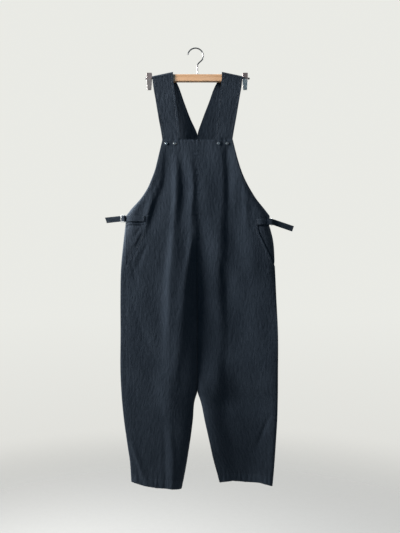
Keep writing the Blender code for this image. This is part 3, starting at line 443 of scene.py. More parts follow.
def pocket_gape(side, a, z):
    """The slanted opening stands a little off the facing beneath it."""
    foot = POCKETS[side].z_foot
    here = ease(-z, -POCKET_TOP, -POCKET_TOP + 0.03) * ease(z, foot - 0.004, foot + 0.035)
    return POCKET_GAPE * here * np.exp(-np.maximum(pocket_line(side)(z) - a, 0) / GAPE_REACH)


def folds(side, face, a, z):
    """How far creases, unevenness and gathers lift the cloth off its plain form."""
    x = side * a
    total = np.zeros(np.broadcast(x, z).shape)
    for lean, middle, width, rise in CREASES[face]:
        off = (x - middle(z)) / width(z)
        off = np.where(off > 0, off / (1 + lean), off / (1 - lean))
        total = total + CREASE_LIFT * rise(z) * np.exp(-off * off)
    settled = ease(-z, *UNEVEN_BELOW)
    total = total + settled * (SLOW_LIFT * uneven(SLOW[face], x, z) + FINE_LIFT * uneven(FINE[face], x, z))
    return total + seam_puckers(side, face, a, z)


def cloth_y(side, face, a, z, gape=0.0):
    """Depth of the garment's outer face at distance a towards the side and height z."""
    forward = -1.0 if face == "front" else 1.0
    bulge = forward * BULGE[face](z)
    edge = np.where(z > ARMHOLE_END, forward * EDGE[face](z), -OUTER_AT[side](z))
    torso_round = np.sqrt(1 - np.clip(np.abs(a) / OUTER[side](z), 0, 1) ** OUTER_ROUND)
    torso = mix(edge, bulge, torso_round)
    v = np.clip(2 * to_share(side, a, z) - 1, -1, 1)
    leg_round = np.sqrt(1 - np.abs(v) ** np.where(v < 0, INNER_ROUND[side], OUTER_ROUND))
    base = edge * (v + 1) / 2 - INNER_AT[side](z) * (1 - v) / 2
    leg = mix(base, bulge if face == "back" else -LEG_FRONT[side](z), leg_round)
    k = parting(z)
    room = np.where(z > ARMHOLE_END, mix(ARMHOLE_FOLDS, 1, torso_round), torso_round)
    lift = folds(side, face, a, z) * ((1 - k) * room + k * leg_round)
    return (1 - k) * torso + k * leg + forward * (lift + gape)


def depth_at(side, face, a, z):
    return float(cloth_y(side, face, np.array(a), np.array(z)))


def hem_shift(side, share, z):
    """The hem's own wave, eased out up the leg. share runs from the leg's inner to its outer edge."""
    line = HEM_LINE[side]
    return np.interp(share, np.linspace(0, 1, len(line)), line) * ease(-z, -HEM - HEM_EASE, -HEM)


def pressed(side, a, y, z):
    """Legs that touch are flattened against each other, and panels stop short of the centre seam."""
    middle = side * CONTACT_SLANT * parting(z) * y + SEAM / 2
    return np.where(z > LEGS_PART, np.maximum(a, middle), a)


def section_point(side, angle, z, gape=False):
    """A point of the half-section: angle 0 at the front's inner edge, pi at the outer edge,
    2 pi at the back's inner edge."""
    share = (1 - np.cos(angle)) / 2
    a = from_share(side, share, z)
    opening = pocket_gape(side, a, z) if gape else 0.0
    y = np.where(angle <= math.pi, cloth_y(side, "front", a, z, opening), cloth_y(side, "back", a, z))
    return np.stack([side * pressed(side, a, y, z), y, z + hem_shift(side, share, z)], axis=-1)


def seam_angle(side, z):
    """Where the side seam runs round the section."""
    outer = OUTER[side](z)
    if side == LEFT:
        return np.arccos(np.clip(1 - 2 * to_share(side, np.minimum(SEAM_LEFT, outer), z), -1, 1))
    behind = SEAM_RIGHT_BEHIND * ease(-z, -ARMHOLE_END, 0.06 - ARMHOLE_END)
    return 2 * math.pi - np.arccos(np.clip(1 - 2 * to_share(side, outer - behind, z), -1, 1))


def heights(*stops):
    """Heights through the stops, each given with the number of steps down to it."""
    found = [stops[0]]
    for z, steps in zip(stops[1::2], stops[2::2]):
        found.extend(np.linspace(found[-1], z, steps + 1)[1:])
    return np.array(found)


def outward(side, points):
    """Unit normals of a grid whose rows run down and whose columns run from the front round to the back."""
    return unit(-side * np.cross(np.gradient(points, axis=1), np.gradient(points, axis=0)))


def section_grid(side, angles, z, gape=False):
    """Points and normals of the section at each height. The normals at the ends are those of the
    whole section, so that panels that meet at a seam have parallel faces there."""
    steps = angles[:, 1:2] - angles[:, :1]
    wide = np.concatenate([angles[:, :1] - steps, angles, angles[:, -1:] + steps], axis=1)
    points = section_point(side, wide % (2 * math.pi), z[:, None], gape)
    above = z > CROTCH
    if angles[0, 0] == 0:
        points[above, 0] = 2 * points[above, 1] - points[above, 2]
    if angles[0, -1] == 2 * math.pi:
        points[:, -2] = section_point(side, angles[:, -1:], z[:, None])[:, 0]
        points[above, -1] = 2 * points[above, -2] - points[above, -3]
    return points[:, 1:-1], outward(side, points)[:, 1:-1]


def layer(grid, first=0.0, last=0.0, under=0.0, thickness=CLOTH):
    """The outer and inner face of a layer that starts this far under a panel's outer face. Its first and
    last column are moved in along the rows, for the gaps at its seams."""
    points, normals = grid
    faces = points - normals * under, points - normals * (under + thickness)
    for face in faces:
        for edge, inside, distance in ((0, 1, first), (-1, -2, last)):
            step = face[:, inside] - face[:, edge]
            face[:, edge] += step * (distance / np.linalg.norm(step, axis=1))[:, None]
    return faces


def spline(points, steps):
    """Points on a smooth curve through the given ones, with this many steps between two of them."""
    points = np.array(points, float)
    before = np.concatenate([[2 * points[0] - points[1]], points[:-1]])
    after = np.concatenate([points[1:], [2 * points[-1] - points[-2]]])
    slopes = (after - before) / 2
    found = [eased(t, points[i], points[i + 1], slopes[i], slopes[i + 1])
             for i in range(len(points) - 1) for t in np.arange(steps) / steps]
    return np.array([*found, points[-1]])


# ---------------------------------------------------------------- materials
class Nodes:
    """Short names for the nodes of one tree."""

    def __init__(self, tree):
        self.tree = tree

    def link(self, source, target):
        if hasattr(source, "is_output"):
            self.tree.links.new(source, target)
        else:
            target.default_value = source

    def node(self, kind, output, inputs=None, **settings):
        """One output of a new node with these inputs and settings."""
        node = self.tree.nodes.new("ShaderNode" + kind)
        for key, value in settings.items():
            setattr(node, key, value)
        for key, value in (inputs or {}).items():
            self.link(value, node.inputs[key])
        return node.outputs[output]

    def maths(self, operation, first, second=0.0):
        return self.node("Math", 0, {0: first, 1: second}, operation=operation)

    def added(self, first, second):
        return self.maths("ADD", first, second)

    def scaled(self, value, factor):
        return self.maths("MULTIPLY", value, factor)


class Painter(Nodes):
    """Short names for the nodes of one material."""

    def __init__(self, name, colour, roughness, metallic=0.0):
        self.material = bpy.data.materials.new(name)
        self.material.use_nodes = True
        self.material.diffuse_color = (*colour, 1)
        super().__init__(self.material.node_tree)
        self.use(Base_Color=(*colour, 1), Roughness=roughness, Metallic=metallic)

    def use(self, **sockets):
        for key, value in sockets.items():
            self.link(value, self.tree.nodes["Principled BSDF"].inputs[key.replace("_", " ")])
        return self.material

    def uv(self, across, along):
        """The cloth's own coordinates in metres, stretched."""
        return self.stretched(self.node("UVMap", 0, uv_map="cloth"), (across, along, 1.0))

    def place(self, *scale):
        return self.stretched(self.node("TexCoord", "Object"), scale)

    def stretched(self, vector, scale):
        return self.node("Mapping", 0, {"Vector": vector, "Scale": scale})

    def noise(self, vector, scale, detail=3.0, roughness=0.5, distortion=0.0):
        inputs = {"Vector": vector, "Scale": scale, "Detail": detail, "Roughness": roughness}
        return self.node("TexNoise", "Fac", {**inputs, "Distortion": distortion})

    def mapped(self, value, low, high, to_low=0.0, to_high=1.0):
        inputs = {"Value": value, "From Min": low, "From Max": high, "To Min": to_low, "To Max": to_high}
        return self.node("MapRange", "Result", inputs, interpolation_type="SMOOTHSTEP")

    def mixed(self, share, first, second):
        """Between two colours: 6 and 7 are the node's colour inputs, and 2 its colour output."""
        first, second = (c if hasattr(c, "is_output") else (*c, 1) for c in (first, second))
        return self.node("Mix", 2, {"Factor": share, 6: first, 7: second}, data_type="RGBA")

    def bump(self, height, distance, strength, under=None):
        inputs = {"Strength": strength, "Distance": distance, "Height": height}
        return self.node("Bump", 0, {**inputs, "Normal": under} if under else inputs)


THREAD = 0.00085  # pitch of the plain weave
CLIP_NECK_Z = -0.094  # where the clips' grips end
SCRATCH = 0.00008  # depth of the metal's scratches


def weave(paint):
    """Threads over and under each other, a little uneven in thickness."""
    swell = paint.scaled(paint.noise(paint.uv(90, 9), 1.0, 2.0), 0.0011)
    place = paint.uv(1, 1)
    warp, weft = (paint.added(paint.node("SeparateXYZ", axis, {0: place}), swell) for axis in "XY")
    warp, weft = (paint.maths("SINE", paint.scaled(along, math.pi / THREAD)) for along in (warp, weft))
    return paint.scaled(warp, weft)


def cloth_material(name, dark, light, sheen):
    """Washed navy-black cotton: plain weave, slubs, faint mottling, and edges and seams slightly rubbed."""
    paint = Painter(name, tuple((d + l) / 2 for d, l in zip(dark, light)), 0.93)
    mottle = paint.noise(paint.uv(1, 1), 11.0, 4.0, 0.55)
    slub = paint.noise(paint.uv(520, 26), 1.0, 3.0, 0.6)
    pick = paint.noise(paint.uv(30, 700), 1.0, 2.0, 0.5)
    grain = paint.added(paint.scaled(slub, 0.5), paint.scaled(pick, 0.22))
    tone = paint.added(paint.scaled(mottle, 0.34), grain)
    base = paint.mixed(paint.mapped(tone, 0.36, 0.70), dark, light)
    edge = paint.node("Attribute", "Fac", attribute_name="edge")
    rubbed = paint.mapped(edge, 0.0, 0.0016, 0.14, 0.0)
    roping = paint.mapped(edge, 0.0050, 0.0072, 0.16, 0.0)
    worn = paint.scaled(paint.maths("MAXIMUM", rubbed, roping), paint.mapped(slub, 0.35, 0.6, 0.35, 1.0))
    colour = paint.mixed(worn, base, tuple(l * 1.9 + 0.004 for l in light))
    groove = paint.maths("ABSOLUTE", paint.maths("SUBTRACT", edge, STITCH_INSET))
    band = paint.mapped(edge, 0.0056, 0.0068, 1.0, 0.0)
    sunk = paint.mapped(groove, 0.0, 0.0009)
    crumple = paint.noise(paint.uv(150, 48), 1.0, 3.0, 0.55)
    normal = paint.bump(weave(paint), 0.00012, 0.55)
    normal = paint.bump(crumple, 0.0013, 1.0, normal)
    normal = paint.bump(grain, 0.00030, 0.5, normal)
    normal = paint.bump(paint.added(band, sunk), 0.00028, 0.8, normal)
    paint.use(Base_Color=colour, Normal=normal, Specular_IOR_Level=0.22)
    return paint.use(Sheen_Weight=sheen, Sheen_Roughness=0.42, Sheen_Tint=(0.9, 0.93, 1.0, 1.0))


def thread_material():
    paint = Painter("thread", (0.022, 0.027, 0.036), 0.7)
    twist = paint.noise(paint.place(900, 900, 900), 1.0, 2.0)
    colour = paint.mixed(twist, (0.014, 0.018, 0.025), (0.040, 0.047, 0.058))
    paint.use(Base_Color=colour, Normal=paint.bump(twist, 0.0001, 0.5))
    return paint.use(Sheen_Weight=0.15, Sheen_Roughness=0.4)


def metal_material(name, clean, worn, roughness, grain, metallic=1.0):
    """Plated wire or sheet: handling marks, brushed grain and dull patches."""
    paint = Painter(name, clean, roughness, metallic)
    patches = paint.noise(paint.place(1, 1, 1), 160.0, 4.0, 0.6)
    scratches = paint.noise(paint.place(*grain), 1.0, 3.0, 0.65)
    share = paint.mapped(paint.added(patches, paint.scaled(scratches, 0.35)), 0.45, 0.85)
    dull = paint.mapped(patches, 0.35, 0.75, roughness * 0.8, min(0.75, roughness * 1.7))
    colour = paint.mixed(share, clean, worn)
    return paint.use(Base_Color=colour, Roughness=dull, Normal=paint.bump(scratches, SCRATCH, 0.45))


def clip_material():
    """Plated sheet: a browner grip above and lighter jaws below, with a painted reflection on the jaws that
    grows towards the right, so that the right clip's jaws are much lighter.
    """
    paint = Painter("clip_nickel", (0.30, 0.28, 0.26), 0.38, 0.3)
    place = paint.place(1, 1, 1)
    height = paint.node("SeparateXYZ", "Z", {0: place})
    below = paint.mapped(height, CLIP_NECK_Z - 0.001, CLIP_NECK_Z + 0.001, 1.0, 0.0)
    # painted reflection: the jaws are painted lighter towards the right, the right clip's far lighter than
    # the left's
    painted_reflection = paint.mapped(paint.node("SeparateXYZ", "X", {0: place}), -0.14, 0.14)
    patches = paint.noise(place, 260.0, 4.0, 0.6)
    scratches = paint.noise(paint.place(1400, 200, 200), 1.0, 3.0, 0.65)
    worn = paint.mapped(patches, 0.42, 0.66)
    plate = paint.mixed(painted_reflection, (0.245, 0.205, 0.185), (0.86, 0.78, 0.70))
    plate = paint.mixed(worn, plate, paint.mixed(painted_reflection, (0.17, 0.14, 0.125), (0.58, 0.50, 0.44)))
    grip = paint.mixed(worn, (0.215, 0.160, 0.145), (0.115, 0.085, 0.076))
    paint.use(Base_Color=paint.mixed(below, grip, plate), Normal=paint.bump(scratches, SCRATCH, 0.45))
    return paint.use(Roughness=paint.mapped(patches, 0.35, 0.75, 0.30, 0.55))


def wood_material():
    """Pale varnished wood with fine grain along the bar."""
    paint = Painter("hanger_wood", (0.56, 0.35, 0.21), 0.42)
    wander = paint.noise(paint.place(9, 60, 60), 1.0, 3.0)
    rings = paint.noise(paint.place(4.5, 190, 190), 1.0, 5.0, 0.62, 0.6)
    pores = paint.noise(paint.place(60, 1500, 1500), 1.0, 2.0, 0.6)
    colour = paint.mixed(paint.mapped(rings, 0.36, 0.66), (0.73, 0.405, 0.210), (0.53, 0.275, 0.122))
    colour = paint.mixed(paint.mapped(wander, 0.45, 0.8, 0.0, 0.5), colour, (0.79, 0.48, 0.28))
    colour = paint.mixed(paint.mapped(pores, 0.58, 0.74, 0.0, 0.55), colour, (0.27, 0.14, 0.07))
    normal = paint.bump(paint.added(rings, pores), 0.0002, 0.35)
    paint.use(Base_Color=colour, Roughness=paint.mapped(rings, 0.3, 0.7, 0.36, 0.5), Normal=normal)
    return paint.use(Coat_Weight=0.18, Coat_Roughness=0.3)


def floor_material():
    """Pale and matt, and gone beyond the garment's surroundings."""
    paint = Painter("pale_floor", (0.36, 0.345, 0.325), 0.9)
    reach = paint.node("VectorMath", "Value", {0: paint.place(1, 1, 0)}, operation="LENGTH")
    speckle = paint.noise(paint.place(1, 1, 1), 70.0, 4.0)
    colour = paint.mixed(speckle, (0.349, 0.333, 0.312), (0.371, 0.355, 0.334))
    return paint.use(Alpha=paint.mapped(reach, 0.45, 2.3, 1.0, 0.0), Base_Color=colour)


CLOTH_LOOK = cloth_material("washed_cloth", (0.0085, 0.0135, 0.0205), (0.0175, 0.0240, 0.0330), 0.07)
STRAP_LOOK = cloth_material("washed_strap", (0.0095, 0.0145, 0.0215), (0.0190, 0.0255, 0.0345), 0.07)
# the facing's cloth is a little darker than the front's: painted shade where it lies under the pocket's edge
SHADED_FACING_LOOK = cloth_material("washed_facing_painted_shade", (0.0085, 0.0130, 0.0195), (0.0170, 0.0230, 0.0315), 0.06)
THREAD_LOOK = thread_material()
STUD_LOOK = metal_material("stud_metal", (0.50, 0.50, 0.50), (0.20, 0.19, 0.18), 0.30, (400, 400, 400))
RING_LOOK = metal_material("ring_metal", (0.92, 0.92, 0.90), (0.62, 0.60, 0.56), 0.28, (300, 300, 1200), 0.3)
WIRE_LOOK = metal_material("hook_steel", (0.26, 0.25, 0.24), (0.11, 0.10, 0.10), 0.34, (500, 500, 500))
CLIP_LOOK = clip_material()
WOOD_LOOK = wood_material()


# ---------------------------------------------------------------- meshes
SHARP = math.radians(50)


def placed(name, data, place=(0, 0, 0)):
    obj = bpy.data.objects.new(name, data)
    obj.location = place
    bpy.context.scene.collection.objects.link(obj)
    return obj


def quads(index):
    """The faces of a grid of points, given by their numbers."""
    corners = index[:-1, :-1], index[:-1, 1:], index[1:, 1:], index[1:, :-1]
    return np.stack(corners, axis=-1).reshape(-1, 4)


def make_mesh(name, points, faces, look, uv=None, edge=None):
    mesh = bpy.data.meshes.new(name)
    mesh.from_pydata(points.tolist(), [], faces)
    if uv is not None:
        corner = np.empty(len(mesh.loops), int)
        mesh.loops.foreach_get("vertex_index", corner)
        mesh.uv_layers.new(name="cloth").data.foreach_set("uv", uv[corner].ravel())
        mesh.attributes.new("edge", "FLOAT", "POINT").data.foreach_set("value", edge)
    mesh.materials.append(look)
    mesh.shade_smooth()
    mesh.set_sharp_from_angle(angle=SHARP)
    return placed(name, mesh)


def grid_mesh(name, outer, inner, look, edge=None):
    """A closed wall between two grids, with the cloth's own coordinates in metres."""
    rows, columns = outer.shape[:2]
    count = rows * columns
    index = np.arange(count).reshape(rows, columns)
    face = quads(index)
    rim = np.concatenate([index[0], index[1:, -1], index[-1, -2::-1], index[-2:0:-1, 0]])
    after = np.roll(rim, -1)
    walls = np.stack([after, rim, rim + count, after + count], axis=-1)
    faces = np.concatenate([face, face[:, ::-1] + count, walls])
    p = outer[:2, :2].reshape(4, 3)
    if np.dot(np.cross(p[1] - p[0], p[3] - p[0]), outer[0, 0] - inner[0, 0]) < 0:
        faces = faces[:, ::-1]
    points = np.concatenate([outer.reshape(-1, 3), inner.reshape(-1, 3)])
    step = np.linalg.norm(np.diff(outer, axis=1), axis=-1)
    drop = np.linalg.norm(np.diff(outer, axis=0), axis=-1).mean(axis=1)
    across = np.concatenate([np.zeros((rows, 1)), np.cumsum(step, axis=1)], axis=1)
    down = np.concatenate([[0.0], np.cumsum(drop)])
    uv = np.stack([across, np.broadcast_to(-down[:, None], across.shape)], axis=-1).reshape(-1, 2)
    edge = np.full(count, FAR) if edge is None else edge.ravel()
    return make_mesh(name, points, faces.tolist(), look, np.tile(uv, (2, 1)), np.tile(edge, 2))


def trimmed(piece, side, corners, operation):
    """Cuts a piece along an outline seen from the front, and keeps the result as its mesh."""
    shape = bmesh.new()
    near = [shape.verts.new((side * a, OUTLINE_FRONT, z)) for a, z in corners]
    extruded = bmesh.ops.extrude_face_region(shape, geom=[shape.faces.new(near)])
    moved = [item for item in extruded["geom"] if isinstance(item, bmesh.types.BMVert)]
    bmesh.ops.translate(shape, vec=(0, OUTLINE_BACK - OUTLINE_FRONT, 0), verts=moved)
    bmesh.ops.recalc_face_normals(shape, faces=shape.faces)
    mesh = bpy.data.meshes.new("outline")
    shape.to_mesh(mesh)
    shape.free()
    cutter = placed("outline", mesh)
    cut = piece.modifiers.new("outline", "BOOLEAN")
    cut.operation = operation
    cut.object = cutter
    cut.solver = "EXACT"
    bpy.context.view_layer.update()
    found = bpy.data.meshes.new_from_object(piece.evaluated_get(bpy.context.evaluated_depsgraph_get()))
    piece.modifiers.clear()
    piece.data = found
    bpy.data.objects.remove(cutter)
    found.shade_smooth()
    found.set_sharp_from_angle(angle=SHARP)


def through_rings(rings, closed=False, capped=True):
    """Points and faces of a form through rings of points. Closed, its last ring joins the first."""
    rings = np.array(rings)
    index = np.arange(rings.size // 3).reshape(rings.shape[:2])
    rows = np.concatenate([index, index[:1]]) if closed else index
    faces = quads(np.concatenate([rows, rows[:, :1]], axis=1)).tolist()
    if capped and not closed:
        faces += [index[0][::-1].tolist(), index[-1].tolist()]
    return rings.reshape(-1, 3), faces


def tube(route, radius, sides=12, closed=False):
    """A round wire along a route."""
    route = np.array(route, float)
    if closed:
        tangent = unit(np.roll(route, -1, axis=0) - np.roll(route, 1, axis=0))
    else:
        tangent = unit(np.gradient(route, axis=0))
    cosine, sine, _ = (values[:, None] for values in circle(sides))
    normal = np.cross(tangent[0], (0.123, 0.9, 0.31))
    rings = []
    for p, t in zip(route, tangent):
        normal = unit(normal - t * np.dot(normal, t))
        rings.append(p + radius * (cosine * normal + sine * np.cross(t, normal)))
    return through_rings(rings, closed)


def circle(steps):
    """Cosines and sines, and zeros for the third coordinate."""
    turn = np.linspace(0, 2 * math.pi, steps, endpoint=False)
    return np.cos(turn), np.sin(turn), 0 * turn


def lathed(profile, centre):
    """A round form about an axis towards the front: profile is (radius, distance forward)."""
    across, up, level = circle(28)
    ring = np.stack([across, level, up], axis=-1)
    return through_rings([centre + r * ring - (0, d, 0) for r, d in profile])


def joined(name, parts, look):
    """One object from several (points, faces) pairs."""
    faces, start = [], 0
    for points, part_faces in parts:
        faces += [[i + start for i in face] for face in part_faces]
        start += len(points)
    return make_mesh(name, np.concatenate([points for points, _ in parts]), faces, look)


# ---------------------------------------------------------------- stitching
def stitch_row(at, a, z):
    """Centres, directions and normals of the stitches along a line of the surface at(a, z)."""
    a, z = np.broadcast_arrays(np.asarray(a, float), np.asarray(z, float))
    small = 0.0010
    points = at(a, z)
    normal = unit(np.cross(at(a + small, z) - at(a - small, z), at(a, z + small) - at(a, z - small)))
    travelled = np.concatenate([[0.0], np.cumsum(np.linalg.norm(np.diff(points, axis=0), axis=1))])
    stops = np.arange(STITCH_PITCH / 2, travelled[-1], STITCH_PITCH)
    centre, along, normal = (
        np.stack([np.interp(stops, travelled, v[:, i]) for i in range(3)], axis=1)
        for v in (points, np.gradient(points, axis=0), normal)
    )
    return centre, unit(along), unit(normal)


def stitches(name, rows, outwards):
    """All the rows of stitches on one piece as one mesh. outwards gives the side that they lie on."""
    centre, along, normal = (np.concatenate(found) for found in zip(*rows))
    along = along * (STITCH_LENGTH / 2)
    facing = np.sign((normal * outwards).sum(axis=1, keepdims=True))
    normal = normal * np.where(facing == 0, 1, facing)
    across = STITCH_HALF_WIDTH * unit(np.cross(along, normal))
    centre = centre + normal * STITCH_LIFT
    rise = normal * STITCH_HALF_HEIGHT
    ends = [centre + sign * step for step in (along, across, rise) for sign in (-1, 1)]
    eight = [(0, 2, 5), (2, 1, 5), (1, 3, 5), (3, 0, 5), (2, 0, 4), (1, 2, 4), (3, 1, 4), (0, 3, 4)]
    faces = (np.array(eight) + 6 * np.arange(len(centre))[:, None, None]).reshape(-1, 3)
    return make_mesh(name, np.stack(ends, axis=1).reshape(-1, 3), faces.tolist(), THREAD_LOOK)


def ready(piece, slot, *nodes):
    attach(piece, "root")
    if nodes:
        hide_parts(*nodes)


def declared(piece, cut, slot, nodes, at=None, lines=(), outwards=(0, -1, 0)):
    """Sews the lines on a piece of cloth, hides the CAD parts that it replaces, and attaches it to the root
    body.
    """
    extra = []
    if lines:
        extra = [stitches(cut + "_stitches", [stitch_row(at, a, z) for a, z in lines], outwards)]
    ready(piece, slot, *nodes)
    for item in extra:
        ready(item, slot)


# ---------------------------------------------------------------- panels
FRONT_COLUMNS = 118
BACK_COLUMNS = 100
EDGE_SPREAD = 0.6
FOLD_STEPS = 26
HANG_STEPS = 22
LEG_ROWS = (LEGS_PART, 88, -1.110, 16, HEM, 76)
FRONT_ROWS = heights(BIB_TOP, ARMHOLE_END, 78, POCKET_TOP, 9, -0.690, 46, CROTCH, 28, *LEG_ROWS)
BACK_ROWS = heights(ARMHOLE_END, POCKET_TOP, 9, CROTCH, 74, *LEG_ROWS)
VEE_ROWS = heights(-0.150, VEE_APEX, 36, BIB_TOP, 6, ARMHOLE_END, 74)[:-1]


def spread(columns):
    """Shares of the way round a panel, closer together towards both edges."""
    even = np.linspace(0, 1, columns)
    return EDGE_SPREAD * np.arccos(1 - 2 * even) / math.pi + (1 - EDGE_SPREAD) * even


def slope_factor(line, z):
    """Turns a distance measured across into one measured square to the line."""
    step = 0.002
    slope = (line(z + step) - line(z - step)) / (2 * step)
    return 1 / np.sqrt(1 + slope * slope)


def sewn_inside(line, z):
    """Stitches on the inner side of a line."""
    return line(z) - STITCH_INSET / slope_factor(line, z), z


def within(line, a, z, here):
    """How far inside a line a point lies where the line is an edge, and far elsewhere."""
    return np.where(here, np.maximum((line(z) - a) * slope_factor(line, z), 0), FAR)


def hem_distance(z):
    """Kept under the stitching's distance until the hem's own depth is reached."""
    up = z - HEM
    return np.minimum(up, HEM_KEPT) + np.maximum(0.0, up - HEM_DEPTH + STITCH_INSET - HEM_KEPT)


def front_edges(side, a, z):
    """Distance from the bib's top, the armhole, the pocket's edge and the hem, whichever is nearest."""
    pocket = (z < POCKET_TOP) & (z > POCKETS[side].z_foot - 0.002)
    near = np.minimum(BIB_TOP - z, hem_distance(z))
    near = np.minimum(near, within(OUTER[side], a, z, z > ARMHOLE_END))
    return np.minimum(near, within(pocket_line(side), a, z, pocket))


def back_edges(side, a, z):
    """Distance from the V, the armhole and strap edge and the hem, whichever is nearest."""
    armhole = within(back_outer(side), a, z, z > ARMHOLE_END)
    vee = within(lambda height: -VEE[side](height), -a, z, z > VEE_APEX)
    return np.minimum(np.minimum(armhole, vee), hem_distance(z))


def surface_at(side, face):
    """A panel's outer face as a function of the distance towards the side and the height."""
    def at(a, z):
        gape = pocket_gape(side, a, z) if face == "front" else 0.0
        y = cloth_y(side, face, a, z, gape)
        return np.stack([side * a, y, z + hem_shift(side, to_share(side, a, z), z)], axis=-1)

    return at


def hem_line(side):
    """Stitches along the top of the hem."""
    ends = float(inner_edge(side, HEM)) + SEWN_SHORT, float(OUTER[side](HEM)) - SEWN_SHORT
    return np.linspace(*ends, 110), HEM + HEM_DEPTH


def inseam(z):
    """How far a panel stops short of the leg's inner seam."""
    return np.where(z < CROTCH + GAP, SEAM / 2, 0.0)


def front_grid(side, gape):
    angles = spread(FRONT_COLUMNS)[None, :] * seam_angle(side, FRONT_ROWS)[:, None]
    return section_grid(side, angles, FRONT_ROWS, gape)


def pocket_corners(side, lap):
    """The corner outside the slanted opening, or, with a lap, that much more of it all round."""
    slant = POCKETS[side]
    outside, top = OUTER[side](CROTCH) + 0.02, POCKET_TOP - (GAP if lap else 0)
    return (
        (slant.x_top - lap, top), (slant.x_knee - lap, slant.z_knee), (slant.x_foot - lap, slant.z_foot),
        (slant.x_foot - lap, slant.z_foot - lap), (outside, slant.z_foot - lap), (outside, top),
    )


def build_front(side):
    name = "front_" + SIDES[side]
    grid = front_grid(side, gape=True)
    z = np.broadcast_to(FRONT_ROWS[:, None], grid[0].shape[:2])
    edge = front_edges(side, np.abs(grid[0][:, :, 0]), z)
    faces = layer(grid, inseam(FRONT_ROWS), SEAM / 2)
    panel = grid_mesh(name + "_panel", *faces, CLOTH_LOOK, edge)
    trimmed(panel, side, pocket_corners(side, 0.0), "DIFFERENCE")
    lines = [
        (np.linspace(0.002, float(OUTER[side](BIB_TOP)) - SEWN_SHORT, 80), BIB_TOP - STITCH_INSET),
        sewn_inside(OUTER[side], np.linspace(BIB_TOP - SEWN_SHORT, ARMHOLE_END - SEWN_SHORT, 160)),
        sewn_inside(pocket_line(side), np.linspace(POCKET_TOP + 0.001, POCKETS[side].z_foot + 0.003, 90)),
        hem_line(side),
    ]
    lengths = [f"{name}_{part}" for part in ("bib", "hip", "thigh", "calf")]
    declared(panel, name, "cloth", lengths, at=surface_at(side, "front"), lines=lines)


def build_facing(side):
    """The pocket facing lies one layer under the front, from just inside the slant to the side seam."""
    name = "pocket_facing_" + SIDES[side]
    points, normals = front_grid(side, gape=False)
    foot = POCKETS[side].z_foot
    rows = (FRONT_ROWS > foot - 0.03) & (FRONT_ROWS < ARMHOLE_END + 0.001)
    share = spread(FRONT_COLUMNS)
    columns = np.flatnonzero((share > 0.5) & (share < FACING_TURNS))
    widest = int(np.argmax(np.abs(points[rows][:, :, 0]).mean(axis=0)))
    last = FRONT_COLUMNS - 1 if side == LEFT else widest - 2
    columns = np.append(columns, [(columns[-1] + last) // 2, last])
    block = points[rows][:, columns], normals[rows][:, columns]
    z = block[0][:, :, 2]
    beyond = np.abs(block[0][:, :, 0]) - pocket_line(side)(z)
    opened = ease(z, foot + 0.004, foot + 0.020) * ease(-z, 0.002 - POCKET_TOP, 0.012 - POCKET_TOP)
    swell = CLOTH * opened * ease(beyond, 0.001, 0.008)
    faces = layer(block, last=GAP, under=(CLOTH + GAP - swell)[:, :, None])
    piece = grid_mesh(name + "_cloth", *faces, SHADED_FACING_LOOK)
    trimmed(piece, side, pocket_corners(side, FACING_LAP), "INTERSECT")
    declared(piece, name, "facing_cloth", [name])


def shoulder(share):
    """Across the strap's fold over the hanger: distance towards the side, and height."""
    a = SHOULDER_INNER[0] + SHOULDER_WIDTH * share
    (inner, top), (outer, low) = SHOULDER_INNER, SHOULDER_OUTER
    return a, top + (low - top) * (a - inner) / (outer - inner)


def back_outer(side):
    """The back's armhole edge, and the outer edge of its strap, as a function of height."""
    def line(z):
        armhole = OUTER[side](z) - BACK_ARMHOLE_INSET * ease(z, ARMHOLE_END, ARMHOLE_END + 0.10)
        strap = STRAP_OUTER(z) - BACK_STRAP_INSET * ease(-z, 0.090, 0.120)
        join = ease(z, BIB_TOP - 0.06, BIB_TOP)
        return armhole * (1 - join) + strap * join

    return line


def over_the_bar(side, share):
    """Rows of the strap from its shoulder seam on the front, over the hanger and down the back."""
    a, fold = shoulder(share)
    rows = []
    for turn in np.linspace(math.pi, 0, FOLD_STEPS):
        y = np.full_like(a, FOLD_REACH * math.cos(turn))
        rows.append(np.stack([side * a, y, fold - FOLD_RISE * (1 - math.sin(turn))], axis=-1))
    spring = fold - FOLD_RISE
    for step in np.arange(1, HANG_STEPS) / HANG_STEPS:
        z = mix(spring, VEE_ROWS[0], step)
        a = mix(VEE[side](z), back_outer(side)(z), share)
        rows.append(np.stack([side * a, np.full_like(a, FOLD_REACH), z], axis=-1))
    return rows


